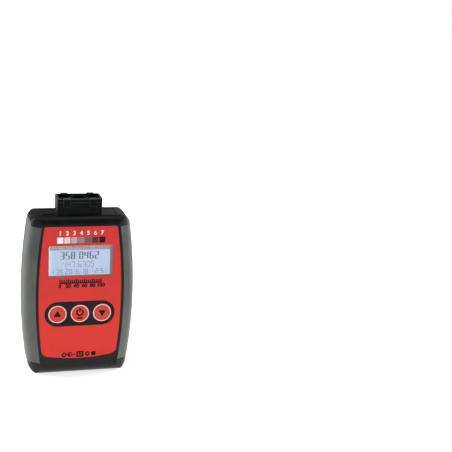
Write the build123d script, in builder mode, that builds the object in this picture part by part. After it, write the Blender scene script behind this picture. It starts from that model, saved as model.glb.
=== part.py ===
from build123d import *
import os
from math import asin, atan, degrees, hypot, sqrt

os.makedirs("parts", exist_ok=True)

# A hand-held colour meter, in millimetres.
# X runs across the front, Y from the front face (negative) to the back, and Z up the case.
# The case stands on its lower end at Z = 0, with the origin under the middle of the whole meter.

# Case
case_width = 79.4
case_height = 117.0
case_depth = 33.0
side_bow = 4.7  # how far each long side bows out between its ends
side_corner_radius = 9.0
top_corner_radius = 8.6
bottom_corner_radius = 10.0
top_edge_radius = 6.5  # along the front
back_edge_radius = 6.0  # along the back, at the top
bottom_edge_radius = 6.0
face_wall = 2.5
side_wall = 2.0
shell_lip_depth = 1.0
shell_lip_width = 0.8

# Soft grips
grip_width = 8.4  # how far a grip reaches across the front, from the side inward
grip_slope = 5.0  # how far the front face falls back across that width
grip_thickness = 2.0
grip_low = 9.5
grip_below_top = 7.0
grip_tip_rise = 5.0
shoulder_half_width = 34.7
shoulder_corner_radius = 1.5

# End panels
panel_recess = 0.3
panel_thickness = 2.0
panel_lip = 1.6
panel_lap = 1.5
panel_opening_depth = 18.0
panel_corner_margin = 0.5
strap_slot_width = 7.8
strap_slot_depth = 2.6
strap_slot_x = -21.8
strap_slot_y = -6.6

# Face label and keys
label_recess = 0.8
label_thickness = 0.5
label_border = 10.35  # from the side of the case to the edge of the label
label_below_top = 6.6
label_low = 11.9
label_arch_radius = 130.0
label_top_corner = 1.0
label_low_corner = 5.0
surround_margin = 2.45  # of the surround above and below the keys
surround_end_margin = 2.3  # and beyond the outer keys
surround_thickness = 0.7
key_height = 46.0
key_diameter = 13.4
key_gap = 2.5
key_edge_radius = 0.7
key_flange_width = 0.9
key_flange_thickness = 1.0
key_travel = 0.5

# Display
display_below_top = 31.7
display_width = 45.2
display_height = 22.6
display_lap = 1.1
display_radius = 0.8
gasket_thickness = 1.0
gasket_width = 1.4
glass_width = 52.6
glass_height = 31.0
glass_thickness = 1.8
backlight_thickness = 3.2
display_frame_wall = 0.9
display_pin_count = 12
display_pin_pitch = 2.54
display_pin_radius = 0.3

# Main board
board_face_depth = 6.4  # from the inside of the front wall to the front of the board
board_thickness = 1.6
board_half_width = 31.0
board_low = 17.0
board_below_top = 15.0
board_post_radius = 2.4
board_post_x = 27.3
board_post_heights = [24.0, 62.0]
board_screw_radius = 1.0
board_screw_head_radius = 1.9
board_screw_head = 1.2
board_screw_length = 6.5
chip_size = 12.0
chip_thickness = 1.4
small_part_gap = 4.0
small_part_size = 3.2
small_part_height = 2.2
small_part_count = 6
beeper_radius = 4.5
beeper_height = 3.0
beeper_hole_radius = 1.0
beeper_x = 17.0
socket_length = 10.0
socket_width = 4.0
socket_height = 1.8
switch_size = 6.0
switch_body = 3.6
plunger_radius = 1.75

# Case screws
case_screw_x = 24.5
case_screw_low = 12.0
case_screw_below_top = 11.0
case_screw_radius = 1.45
case_screw_head_radius = 2.8
case_screw_head = 2.2
case_screw_length = 23.0
case_screw_sink = 3.0
front_boss_radius = 3.4
rear_boss_radius = 4.2
driver_slot_length = 1.2  # as a share of the screw head's radius
driver_slot_width = 0.25  # as a share of the screw head's radius

# Battery bay
cell_radius = 7.25
cell_length = 49.2
cell_stud_radius = 2.75
cell_stud = 1.0
cell_gap = 0.5
bay_low = 13.5
bay_wall = 1.5
contact_thickness = 0.4
contact_dimple = 0.8
spring_length = 5.8
spring_base_radius = 4.8
spring_tip_radius = 2.8
spring_wire_radius = 0.4
spring_turns = 3
tag_width = 2.4
door_thickness = 1.6
door_ledge = 2.0
door_knuckle_radius = 1.2
door_pin_radius = 0.7
door_pin_length = 1.0
door_tongue_width = 12.0
door_tongue_length = 9.0
door_slot = 0.8
door_groove_count = 4
door_groove_pitch = 1.6
door_groove_depth = 0.4
scoop_radius = 9.0
scoop_depth = 1.2

# Measuring head
head_width = 31.8
head_depth = 17.0
head_centre_y = 0.3
head_rise = 8.5
head_wall = 2.0
head_corner_radius = 2.0
spigot_width = 27.2
spigot_depth = 12.6
spigot_wall = 1.6
spigot_length = 4.9
barb_reach = 0.8
barb_height = 1.1
barb_width = 6.0
cap_floor = 0.8
cap_height = 2.6
cap_rim = 1.4
aperture_diameter = 10.0
gasket_ring_width = 2.0
gasket_ring_height = 1.3
clip_width = 5.0
clip_height = 6.2
clip_thickness = 0.6
clip_rise = 0.6
clip_spacing = 18.6
optics_length = 17.0
optics_shoulder = 6.0
lamp_radius = 1.5
lamp_length = 4.0
lamp_distance = 11.0  # from the sample to the tip of a lamp
lead_radius = 0.25
viewing_bore_radius = 2.0
lens_radius = 3.0
lens_thickness = 2.0
aperture_glass_radius = 6.2
aperture_glass_thickness = 0.8
sensor_board_width = 28.0
sensor_board_depth = 9.0
sensor_board_thickness = 1.6
sensor_size = 3.0
sensor_height = 1.0
sensor_screw_spacing = 17.0
sensor_screw_radius = 0.8
ribbon_width = 8.0
ribbon_thickness = 0.3

# Fits
fit = 0.1  # between two parts that are put together and stay
loose_fit = 0.2  # round a part that moves or drops in
shaft_fit = 0.05  # round a shaft that slides or turns
thread_fit = 0.02
blank_margin = 0.1  # what a blank has to spare where a later cut gives it its face

# Planes and levels worked out from the sizes above
front_y = -case_depth / 2
back_y = case_depth / 2
inner_front_y = front_y + face_wall
inner_back_y = back_y - face_wall
recess_y = front_y + label_recess
case_middle = case_height / 2
side_radius = (case_middle**2 + side_bow**2) / (2 * side_bow)
bow_axis_x = case_width / 2 - side_radius
bow_sweep = 2 * degrees(asin(case_middle / side_radius)) + 2
panel_stack = panel_recess + panel_thickness + panel_lip
grip_high = case_height - grip_below_top
label_high = case_height - label_below_top
display_z = case_height - display_below_top
glass_y = inner_front_y + gasket_thickness
board_front_y = inner_front_y + board_face_depth
board_back_y = board_front_y + board_thickness
board_high = case_height - board_below_top
key_back_y = inner_front_y + fit / 2 + key_flange_thickness
bay_half_width = 2 * cell_radius + cell_gap
bay_stack = cell_length + cell_stud + 2 * contact_thickness + contact_dimple + spring_length
bay_high = bay_low + bay_stack
door_y = back_y - door_thickness
cell_y = door_y - cell_gap - cell_radius
bay_floor_y = cell_y - cell_radius - cell_gap / 2
cell_x = cell_radius + cell_gap / 2
rebate_half_width = bay_half_width + door_ledge
rebate_low = bay_low - door_ledge
rebate_high = bay_high + door_ledge + 2 * door_knuckle_radius
hinge_y = back_y - door_knuckle_radius
hinge_z = rebate_high - loose_fit - door_knuckle_radius
head_low = case_height - panel_recess
head_high = case_height + head_rise
cap_high = head_high + cap_height
cap_floor_high = head_high + cap_floor
optics_low = head_high - optics_length
sample_z = cap_high
grid_screws_x = [-case_screw_x, case_screw_x]
grid_screws_z = [case_screw_low, case_height - case_screw_below_top]
screw_places = [(x, z) for x in grid_screws_x for z in grid_screws_z]
post_places = [(x, z) for x in (-board_post_x, board_post_x) for z in board_post_heights]
key_spacing = key_diameter + key_gap
surround_width = 2 * key_spacing + key_diameter + 2 * surround_end_margin
surround_height = key_diameter + 2 * surround_margin
key_places = {"key_up": -key_spacing, "key_power": 0.0, "key_down": key_spacing}


def across(y):
    """A plane facing the front of the case at depth y, with Z up."""
    return Plane.XZ.offset(-y)


def level(z):
    """A level plane at height z."""
    return Plane.XY.offset(z)


def side_x(inset, z):
    """Half-width of the bowed case at height z, taken inset inside its side."""
    return bow_axis_x + sqrt((side_radius - inset) ** 2 - (z - case_middle) ** 2)


def bowed_face(inset, low, high, low_corner=0, high_corner=0):
    """A face, in sketch coordinates, between the two bowed sides and two level ends."""
    middle = (low + high) / 2
    x_low = side_x(inset, low)
    x_middle = side_x(inset, middle)
    x_high = side_x(inset, high)
    with BuildSketch() as face:
        with BuildLine():
            right = ThreePointArc((x_low, low), (x_middle, middle), (x_high, high))
            Line((x_high, high), (-x_high, high))
            left = ThreePointArc((-x_high, high), (-x_middle, middle), (-x_low, low))
            Line(left @ 1, right @ 0)
        make_face()
        if low_corner:
            fillet(face.vertices().group_by(Axis.Y)[0], low_corner)
        if high_corner:
            fillet(face.vertices().group_by(Axis.Y)[-1], high_corner)
    return face.sketch


def end_face():
    """The side view of the case, in sketch coordinates, with its rounded end edges."""
    with BuildSketch() as face:
        with Locations((0, case_middle)):
            Rectangle(case_depth, case_height)
        fillet(face.vertices().group_by(Axis.Y)[0], bottom_edge_radius)
        fillet(face.vertices().group_by(Axis.Y)[-1].sort_by(Axis.X)[0], top_edge_radius)
        fillet(face.vertices().group_by(Axis.Y)[-1].sort_by(Axis.X)[-1], back_edge_radius)
    return face.sketch


def surrounding(face, plane, reach):
    """Everything outside a view of the case: a large slab with that view cut out of it."""
    with BuildPart() as slab:
        with BuildSketch(plane):
            with Locations((0, case_middle)):
                Rectangle(3 * case_width, 2 * case_height)
            add(face, mode=Mode.SUBTRACT)
        extrude(amount=reach, both=True)
    return slab.part


def slope_point(side_inset, face_inset):
    """Where the sloping edge meets the front: distance from the bow's axis, and half the depth."""
    slope_length = hypot(grip_width, grip_slope)
    drawn_in = (grip_width * face_inset - side_inset * slope_length) / grip_slope
    return side_radius - grip_width + drawn_in, case_depth / 2 - face_inset


def shoulder_point(side_inset):
    """Where the sloping edge meets the side: distance from the bow's axis, and half the depth."""
    slope_length = hypot(grip_width, grip_slope)
    drawn_in = side_inset * (slope_length - grip_slope) / grip_width
    return side_radius - side_inset, case_depth / 2 - grip_slope - drawn_in


def side_sweep(rim, side_inset):
    """Everything to the right of a rim point and a shoulder, swept along the bow of the right side."""
    rim_u, rim_y = rim
    side_u, shoulder_y = shoulder_point(side_inset)
    far_u = side_radius + case_width
    upper_half = [(far_u, case_depth), (rim_u, case_depth), (rim_u, rim_y), (side_u, shoulder_y)]
    lower_half = [(u, -y) for u, y in reversed(upper_half)]
    bow_plane = Plane(Location((bow_axis_x, 0, case_middle), (0, bow_sweep / 2, 0)))
    bow_axis = Axis((bow_axis_x, 0, case_middle), (0, -1, 0))
    with BuildPart() as sweep_part:
        with BuildSketch(bow_plane) as section:
            Polygon(*upper_half, *lower_half, align=None)
            shoulders = section.vertices().filter_by_position(Axis.X, side_u - fit, side_u + fit)
            fillet(shoulders, side_corner_radius - side_inset)
        revolve(axis=bow_axis, revolution_arc=bow_sweep)
    return sweep_part.part


def both_sides(right_side):
    """A tool for the right side of the case together with its mirror image."""
    return [right_side, mirror(right_side, about=Plane.YZ, mode=Mode.PRIVATE)]


def box_between(x_range, y_range, z_range):
    """A plain block between the given limits, for use outside the part being built."""
    size = [high - low for low, high in (x_range, y_range, z_range)]
    middle = [(high + low) / 2 for low, high in (x_range, y_range, z_range)]
    return Pos(*middle) * Box(*size, mode=Mode.PRIVATE)


def finish(builder, name):
    """Label a finished piece and write it out."""
    builder.part.label = name
    export_step(builder.part, "parts/" + name + ".step")


front_view = bowed_face(0, 0, case_height, bottom_corner_radius, top_corner_radius)
outside_front_view = surrounding(front_view, Plane.XZ, case_depth)
outside_side_view = surrounding(end_face(), Plane.YZ, case_width)
outside_right_side = side_sweep(slope_point(0, 0), 0)

# The outer form of the case, before it is divided into shells and grips.
with BuildPart() as case_form:
    with BuildSketch(Plane.XZ):
        add(front_view)
    extrude(amount=case_depth / 2, both=True)
    for outside in [outside_side_view] + both_sides(outside_right_side):
        add(outside, mode=Mode.SUBTRACT)

# The room inside the shells.
room_inset = grip_thickness + side_wall
with BuildPart() as cavity_form:
    with BuildSketch(Plane.XZ):
        add(
            bowed_face(
                room_inset - blank_margin,
                panel_stack,
                case_height - panel_stack,
                bottom_corner_radius - side_wall,
                top_corner_radius - side_wall,
            )
        )
    extrude(amount=case_depth / 2 - face_wall, both=True)
    for outside in both_sides(side_sweep(slope_point(room_inset, face_wall), room_inset)):
        add(outside, mode=Mode.SUBTRACT)

# The heights that a grip doesn't cover. Beside the shoulder at the top it reaches a little further up.
with BuildPart() as grip_limits:
    with BuildSketch(Plane.XZ) as limit_face:
        with Locations((0, grip_low)):
            Rectangle(3 * case_width, case_height, align=(Align.CENTER, Align.MAX))
        with Locations((0, grip_high)):
            Rectangle(3 * case_width, case_height, align=(Align.CENTER, Align.MIN))
        with Locations((shoulder_half_width, grip_high)):
            Rectangle(case_width, grip_tip_rise, align=(Align.MIN, Align.MIN), mode=Mode.SUBTRACT)
        shoulder_corner = limit_face.vertices().sort_by_distance((shoulder_half_width, grip_high))[0]
        fillet(shoulder_corner, shoulder_corner_radius)
    extrude(amount=case_depth, both=True)

# The region outside the shells on the right that the grip fills.
rim_depth = grip_thickness * hypot(grip_width, grip_slope) / grip_width
with BuildPart() as grip_region:
    add(side_sweep((side_radius - grip_width, case_depth / 2 - rim_depth), grip_thickness))
    add(grip_limits.part, mode=Mode.SUBTRACT)

# Right grip, then the left one as its mirror image: soft rubber bonded over the joint of the shells.
with BuildPart() as right_grip:
    add(grip_region.part)
    for outside in (outside_front_view, outside_side_view, outside_right_side):
        add(outside, mode=Mode.SUBTRACT)
finish(right_grip, "right_grip")

with BuildPart() as left_grip:
    add(mirror(right_grip.part, about=Plane.YZ, mode=Mode.PRIVATE))
finish(left_grip, "left_grip")

# End panels: half-width of the opening in each end, from the rounded corner that it stays clear of.
top_opening = side_x(0, case_height) - top_corner_radius - panel_corner_margin
bottom_opening = side_x(0, 0) - bottom_corner_radius - panel_corner_margin
top_panel_low = case_height - panel_recess - panel_thickness


def panel_space(half_width, low, panel_low):
    """The opening through one end, from height low, and the groove that its panel sits in."""
    opening_y = panel_opening_depth / 2
    groove_y = opening_y + panel_lap + fit
    groove_x = half_width + panel_lap + fit
    panel_high = panel_low + panel_thickness
    through = box_between(
        (-half_width, half_width),
        (-opening_y, opening_y),
        (low, low + panel_stack),
    )
    groove = box_between(
        (-groove_x, groove_x),
        (-groove_y, groove_y),
        (panel_low - fit / 2, panel_high + fit / 2),
    )
    return [through, groove]


# The two shells in one, before they are parted at the middle of the depth.
with BuildPart() as case_body:
    add(case_form.part)
    for region in both_sides(grip_region.part):
        add(region, mode=Mode.SUBTRACT)
    add(cavity_form.part, mode=Mode.SUBTRACT)
    for space in panel_space(top_opening, case_height - panel_stack, top_panel_low):
        add(space, mode=Mode.SUBTRACT)
    for space in panel_space(bottom_opening, 0, panel_recess):
        add(space, mode=Mode.SUBTRACT)


def label_face(gap):
    """The outline of the face label in sketch coordinates, grown by gap."""
    middle = (label_low + label_high) / 2
    with BuildSketch() as outline:
        add(bowed_face(label_border - gap, label_low - gap, label_high + gap))
        with Locations((0, label_low + label_arch_radius)):
            Circle(label_arch_radius + gap, mode=Mode.INTERSECT)
        corners = outline.vertices()
        fillet(corners.filter_by(lambda corner: corner.Y > middle), label_top_corner + gap)
        corners = outline.vertices()
        fillet(corners.filter_by(lambda corner: corner.Y < middle), label_low_corner + gap)
    return outline.sketch


def lip_strips(gap):
    """The strips in the middle of the side walls where the shells locate on each other."""
    outer = grip_thickness + (side_wall - shell_lip_width) / 2 - gap
    inner = outer + shell_lip_width + 2 * gap
    low = 2 * grip_low - gap
    high = case_height - 2 * grip_low + gap
    with BuildSketch() as strips:
        add(bowed_face(outer, low, high))
        add(bowed_face(inner, low, high), mode=Mode.SUBTRACT)
    return strips.sketch


opening_width = display_width + 2 * display_lap
opening_height = display_height + 2 * display_lap

# Front shell, with the label's recess, the display opening, the key holes and the posts behind.
with BuildPart() as front_shell:
    add(case_body.part)
    split(bisect_by=Plane.XZ, keep=Keep.TOP)
    with BuildSketch(across(0)):
        add(lip_strips(0))
    extrude(amount=-shell_lip_depth)
    with BuildSketch(across(front_y)):
        add(label_face(fit))
    extrude(amount=-label_recess, mode=Mode.SUBTRACT)
    with BuildSketch(across(front_y)):
        with Locations((0, display_z)):
            Rectangle(opening_width + 2 * fit, opening_height + 2 * fit)
        with Locations(*[(x, key_height) for x in key_places.values()]):
            Circle(key_diameter / 2 + loose_fit)
    extrude(amount=-face_wall, mode=Mode.SUBTRACT)
    with BuildSketch(across(inner_front_y)):
        with Locations(*screw_places):
            Circle(front_boss_radius)
    extrude(amount=inner_front_y)
    with BuildSketch(across(inner_front_y)):
        with Locations(*post_places):
            Circle(board_post_radius)
    extrude(amount=inner_front_y - board_front_y)
    with BuildSketch(across(0)):
        with Locations(*screw_places):
            Circle(case_screw_radius + thread_fit)
    extrude(amount=case_screw_length - back_y + case_screw_sink, mode=Mode.SUBTRACT)
    with BuildSketch(across(board_front_y)):
        with Locations(*post_places):
            Circle(board_screw_radius + thread_fit)
    extrude(amount=board_screw_length - board_thickness, mode=Mode.SUBTRACT)
finish(front_shell, "front_shell")

tag_places = (-cell_x, cell_x)
sink_y = back_y - case_screw_sink

# Rear shell, with the screw bosses, the battery bay and the rebate for its door.
with BuildPart() as rear_shell:
    add(case_body.part)
    split(bisect_by=Plane.XZ, keep=Keep.BOTTOM)
    with BuildSketch(across(0)):
        add(lip_strips(fit))
    extrude(amount=-shell_lip_depth - fit, mode=Mode.SUBTRACT)
    with BuildSketch(across(0)):
        with Locations(*screw_places):
            Circle(rear_boss_radius)
    extrude(amount=-inner_back_y)
    add(
        box_between(
            (-bay_half_width - bay_wall, bay_half_width + bay_wall),
            (bay_floor_y - bay_wall, inner_back_y),
            (bay_low - bay_wall, bay_high + bay_wall),
        )
    )
    add(
        box_between(
            (-rebate_half_width - bay_wall, rebate_half_width + bay_wall),
            (inner_back_y - bay_wall, inner_back_y),
            (bay_high, rebate_high + bay_wall),
        )
    )
    bay = box_between((-bay_half_width, bay_half_width), (bay_floor_y, back_y), (bay_low, bay_high))
    rebate = box_between(
        (-rebate_half_width, rebate_half_width),
        (door_y - fit, back_y),
        (rebate_low, rebate_high),
    )
    knuckle_room = box_between(
        (-rebate_half_width, rebate_half_width),
        (hinge_y - door_knuckle_radius - loose_fit, back_y),
        (hinge_z - door_knuckle_radius - loose_fit, rebate_high),
    )
    for space in (bay, rebate, knuckle_room):
        add(space, mode=Mode.SUBTRACT)
    with BuildSketch(Plane.YZ):
        with Locations((hinge_y, hinge_z)):
            Circle(door_pin_radius + shaft_fit)
    extrude(amount=rebate_half_width + door_pin_length + fit, both=True, mode=Mode.SUBTRACT)
    with BuildSketch(across(back_y)):
        with Locations(*screw_places):
            Circle(case_screw_radius + loose_fit)
    extrude(amount=back_y, mode=Mode.SUBTRACT)
    with BuildSketch(across(back_y)):
        with Locations(*screw_places):
            Circle(case_screw_head_radius + loose_fit)
    extrude(amount=case_screw_sink, mode=Mode.SUBTRACT)
    with Locations((0, back_y + scoop_radius - scoop_depth, rebate_low)):
        Sphere(scoop_radius, mode=Mode.SUBTRACT)
    for x in tag_places:
        slit = box_between(
            (x - tag_width / 2 - fit, x + tag_width / 2 + fit),
            (bay_floor_y - bay_wall, bay_floor_y),
            (bay_high - contact_thickness - fit, bay_high),
        )
        add(slit, mode=Mode.SUBTRACT)
finish(rear_shell, "rear_shell")


def panel_blank(half_width, low):
    """A flat panel that fills the groove of one end."""
    lap_x = half_width + panel_lap
    lap_y = panel_opening_depth / 2 + panel_lap
    return box_between((-lap_x, lap_x), (-lap_y, lap_y), (low, low + panel_thickness))


# Top end panel, with the hole that the measuring head plugs into and a slot for a wrist strap.
with BuildPart() as top_end_panel:
    add(panel_blank(top_opening, top_panel_low))
    with BuildSketch(level(top_panel_low)):
        with Locations((0, head_centre_y)):
            Rectangle(spigot_width + 2 * fit, spigot_depth + 2 * fit)
        with Locations((strap_slot_x, strap_slot_y)):
            SlotOverall(strap_slot_width, strap_slot_depth)
    extrude(amount=panel_thickness, mode=Mode.SUBTRACT)
finish(top_end_panel, "top_end_panel")

# Bottom end panel, blank.
with BuildPart() as bottom_end_panel:
    add(panel_blank(bottom_opening, panel_recess))
finish(bottom_end_panel, "bottom_end_panel")

# Face label: a printed sheet with openings for the display and for the key surround.
with BuildPart() as face_label:
    with BuildSketch(across(recess_y)):
        add(label_face(0))
    extrude(amount=label_thickness)
    with BuildSketch(across(recess_y)):
        with Locations((0, display_z)):
            RectangleRounded(display_width, display_height, display_radius)
        with Locations((0, key_height)):
            SlotOverall(surround_width + 2 * fit, surround_height + 2 * fit)
    extrude(amount=label_thickness, mode=Mode.SUBTRACT)
finish(face_label, "face_label")

# Key surround: a plate with round ends, set into the label.
with BuildPart() as key_surround:
    with BuildSketch(across(recess_y)):
        with Locations((0, key_height)):
            SlotOverall(surround_width, surround_height)
        with Locations(*[(x, key_height) for x in key_places.values()]):
            Circle(key_diameter / 2 + loose_fit, mode=Mode.SUBTRACT)
    extrude(amount=surround_thickness)
finish(key_surround, "key_surround")

# Keys: a cap that fills its hole and a flange behind the wall that keeps it in.
for key_name, key_x in key_places.items():
    with BuildPart() as key:
        with BuildSketch(across(key_back_y)):
            with Locations((key_x, key_height)):
                Circle(key_diameter / 2 + key_flange_width)
        extrude(amount=key_flange_thickness)
        with BuildSketch(across(key_back_y)):
            with Locations((key_x, key_height)):
                Circle(key_diameter / 2)
        extrude(amount=key_back_y - front_y)
        fillet(key.edges().sort_by(Axis.Y)[0], key_edge_radius)
    finish(key, key_name)

# Plungers: the moving pins of the switches, one under each key.
for key_name, key_x in key_places.items():
    with BuildPart() as plunger:
        with BuildSketch(across(key_back_y)):
            with Locations((key_x, key_height)):
                Circle(plunger_radius)
        extrude(amount=-(board_front_y - key_travel - fit - key_back_y))
    finish(plunger, key_name.replace("key", "plunger"))

# Key switches: three housings on the board, each bored for its plunger.
with BuildPart() as key_switches:
    with BuildSketch(across(board_front_y)):
        with Locations(*[(x, key_height) for x in key_places.values()]):
            Rectangle(switch_size, switch_size)
            Circle(plunger_radius + shaft_fit, mode=Mode.SUBTRACT)
    extrude(amount=switch_body)
finish(key_switches, "key_switches")

# Display window: a clear plate in the opening, level with the floor of the recess.
with BuildPart() as display_window:
    with BuildSketch(across(inner_front_y)):
        with Locations((0, display_z)):
            Rectangle(opening_width, opening_height)
    extrude(amount=inner_front_y - recess_y)
finish(display_window, "display_window")

# Display gasket: a foam frame between the shell and the glass.
with BuildPart() as display_gasket:
    with BuildSketch(across(glass_y)):
        with Locations((0, display_z)):
            Rectangle(opening_width + 2 * gasket_width, opening_height + 2 * gasket_width)
            Rectangle(opening_width, opening_height, mode=Mode.SUBTRACT)
    extrude(amount=gasket_thickness)
finish(display_gasket, "display_gasket")

# Liquid crystal glass.
with BuildPart() as lcd_glass:
    with BuildSketch(across(glass_y + glass_thickness)):
        with Locations((0, display_z)):
            Rectangle(glass_width, glass_height)
    extrude(amount=glass_thickness)
finish(lcd_glass, "lcd_glass")

# Backlight: a slab behind the glass.
backlight_y = glass_y + glass_thickness + backlight_thickness
with BuildPart() as lcd_backlight:
    with BuildSketch(across(backlight_y)):
        with Locations((0, display_z)):
            Rectangle(glass_width - 2 * fit, glass_height - 2 * fit)
    extrude(amount=backlight_thickness)
finish(lcd_backlight, "lcd_backlight")

# Display frame: holds the glass and the backlight, and stands on the board.
with BuildPart() as lcd_frame:
    with BuildSketch(across(board_front_y)):
        with Locations((0, display_z)):
            Rectangle(
                glass_width + 2 * (fit + display_frame_wall),
                glass_height + 2 * (fit + display_frame_wall),
            )
            Rectangle(glass_width + 2 * fit, glass_height + 2 * fit, mode=Mode.SUBTRACT)
    extrude(amount=board_front_y - glass_y - glass_thickness / 2)
finish(lcd_frame, "lcd_frame")

pin_z = display_z - glass_height / 2 + display_pin_pitch
pin_tail_y = board_back_y + board_thickness / 2

# Display pins: from the backlight's rear face through the board.
with BuildPart() as display_pins:
    with BuildSketch(across(pin_tail_y)):
        with Locations((0, pin_z)):
            with GridLocations(display_pin_pitch, 1, display_pin_count, 1):
                Circle(display_pin_radius)
    extrude(amount=pin_tail_y - backlight_y)
finish(display_pins, "display_pins")

# Main board, with holes for the pins and the screws.
with BuildPart() as main_board:
    with BuildSketch(across(board_back_y)) as board_outline:
        with Locations((0, (board_low + board_high) / 2)):
            Rectangle(2 * board_half_width, board_high - board_low)
        fillet(board_outline.vertices(), board_thickness)
        with Locations(*post_places):
            Circle(board_screw_radius + loose_fit, mode=Mode.SUBTRACT)
        with Locations((0, pin_z)):
            with GridLocations(display_pin_pitch, 1, display_pin_count, 1):
                Circle(display_pin_radius + fit, mode=Mode.SUBTRACT)
    extrude(amount=board_thickness)
finish(main_board, "main_board")

# Microcontroller on the back of the board.
with BuildPart() as microcontroller:
    with BuildSketch(across(board_back_y)):
        with Locations((-chip_size, display_z)):
            Rectangle(chip_size, chip_size)
    extrude(amount=-chip_thickness)
finish(microcontroller, "microcontroller")

# Small board parts: a row of coils and capacitors beside the battery bay.
with BuildPart() as board_parts:
    with BuildSketch(across(board_back_y)):
        with Locations((bay_half_width + bay_wall + small_part_gap, case_middle)):
            with GridLocations(small_part_size, 2 * small_part_size, 1, small_part_count):
                Rectangle(small_part_size, small_part_size)
    extrude(amount=-small_part_height)
finish(board_parts, "board_parts")

# Beeper: a round can with a sound hole.
with BuildPart() as beeper:
    with BuildSketch(across(board_back_y)):
        with Locations((beeper_x, display_z)):
            Circle(beeper_radius)
    extrude(amount=-beeper_height)
    with BuildSketch(across(board_back_y + beeper_height)):
        with Locations((beeper_x, display_z)):
            Circle(beeper_hole_radius)
    extrude(amount=beeper_height / 2, mode=Mode.SUBTRACT)
finish(beeper, "beeper")


def screw(seat, head_radius, head_height, shank_radius, shank_length):
    """A screw with a cross slot. The seat is the plane under its head, facing along its shank."""
    slot_length = driver_slot_length * head_radius
    slot_width = driver_slot_width * head_radius
    with BuildPart() as body:
        with BuildSketch(seat):
            Circle(head_radius)
        extrude(amount=-head_height)
        with BuildSketch(seat):
            Circle(shank_radius)
        extrude(amount=shank_length)
        with BuildSketch(seat.offset(-head_height)):
            Rectangle(slot_length, slot_width)
            Rectangle(slot_width, slot_length)
        extrude(amount=head_height / 2, mode=Mode.SUBTRACT)
    return body.part


# Case screws: four, from the back, through the rear bosses and into the front ones.
with BuildPart() as case_screws:
    for x, z in screw_places:
        seat = Plane(origin=(x, sink_y, z), x_dir=(1, 0, 0), z_dir=(0, -1, 0))
        add(screw(seat, case_screw_head_radius, case_screw_head, case_screw_radius, case_screw_length))
finish(case_screws, "case_screws")

# Board screws: four, from the back of the board into the front shell's posts.
with BuildPart() as board_screws:
    for x, z in post_places:
        seat = Plane(origin=(x, board_back_y, z), x_dir=(1, 0, 0), z_dir=(0, -1, 0))
        add(
            screw(
                seat,
                board_screw_head_radius,
                board_screw_head,
                board_screw_radius,
                board_screw_length,
            )
        )
finish(board_screws, "board_screws")

sensor_board_low = optics_low - sensor_board_thickness
socket_low = sensor_board_low - socket_height
main_socket_z = board_high - socket_width
sensor_socket_y = head_centre_y + sensor_board_depth / 2 - socket_width / 2

# Ribbon sockets: one on the back of the main board, one under the sensor board.
with BuildPart() as ribbon_sockets:
    with BuildSketch(across(board_back_y)):
        with Locations((0, main_socket_z)):
            Rectangle(socket_length, socket_width)
    extrude(amount=-socket_height)
    with BuildSketch(level(socket_low)):
        with Locations((0, sensor_socket_y)):
            Rectangle(socket_length, socket_width)
    extrude(amount=socket_height)
finish(ribbon_sockets, "ribbon_sockets")

# Sensor ribbon: a flat lead that leaves the sensor board's socket at the back and turns down and forward.
ribbon_start = (sensor_socket_y + socket_width / 2, socket_low + socket_height / 2)
ribbon_turn_y = ribbon_start[0] + socket_width / 2
ribbon_turn_z = socket_low - socket_width / 2
ribbon_end = (board_back_y + socket_height / 2, main_socket_z + socket_width / 2)
with BuildPart() as sensor_ribbon:
    with BuildSketch(Plane.YZ):
        with BuildLine():
            FilletPolyline(
                ribbon_start,
                (ribbon_turn_y, ribbon_start[1]),
                (ribbon_turn_y, ribbon_turn_z),
                (ribbon_end[0], ribbon_turn_z),
                ribbon_end,
                radius=3 * ribbon_thickness,
            )
        trace(line_width=ribbon_thickness)
    extrude(amount=ribbon_width / 2, both=True)
finish(sensor_ribbon, "sensor_ribbon")

room_width = head_width - 2 * head_wall
room_depth = head_depth - 2 * head_wall
spigot_room_width = spigot_width - 2 * spigot_wall
spigot_room_depth = spigot_depth - 2 * spigot_wall
shoulder_z = head_high - optics_shoulder
clip_low = cap_high + clip_rise - clip_height
clip_places = [(x, side) for x in (-clip_spacing / 2, clip_spacing / 2) for side in (-1, 1)]


def head_face(plane, width, depth, corner_radius):
    """A rectangle with rounded corners, centred on the measuring head."""
    with BuildSketch(plane) as outline:
        with Locations((0, head_centre_y)):
            RectangleRounded(width, depth, corner_radius)
    return outline.sketch


def head_block(width, depth, low, high):
    """A plain block centred on the measuring head."""
    return box_between(
        (-width / 2, width / 2),
        (head_centre_y - depth / 2, head_centre_y + depth / 2),
        (low, high),
    )


def clip_block(x, side, reach, low, high, width):
    """A block on the front (side -1) or back (side 1) face of the head, reaching out from it."""
    face_y = head_centre_y + side * head_depth / 2
    edges = sorted((face_y, face_y + side * reach))
    return box_between((x - width / 2, x + width / 2), edges, (low, high))


# Measuring head housing: a block on the end of the case, with a spigot that plugs into the end panel.
with BuildPart() as head_housing:
    extrude(
        head_face(level(head_low), head_width, head_depth, head_corner_radius),
        amount=head_high - head_low,
    )
    add(head_block(spigot_width, spigot_depth, head_low - spigot_length, head_low))
    barb_high = top_panel_low - fit
    barb_width_x = spigot_width + 2 * barb_reach
    add(head_block(barb_width_x, barb_width, barb_high - barb_height, barb_high))
    add(
        head_block(spigot_room_width, spigot_room_depth, head_low - spigot_length, head_high),
        mode=Mode.SUBTRACT,
    )
    add(head_block(room_width, room_depth, shoulder_z, head_high), mode=Mode.SUBTRACT)
    for x, side in clip_places:
        pocket = clip_block(x, side, -clip_thickness - fit, clip_low, clip_low + 2 * clip_rise, clip_width)
        add(pocket, mode=Mode.SUBTRACT)
finish(head_housing, "head_housing")

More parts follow.
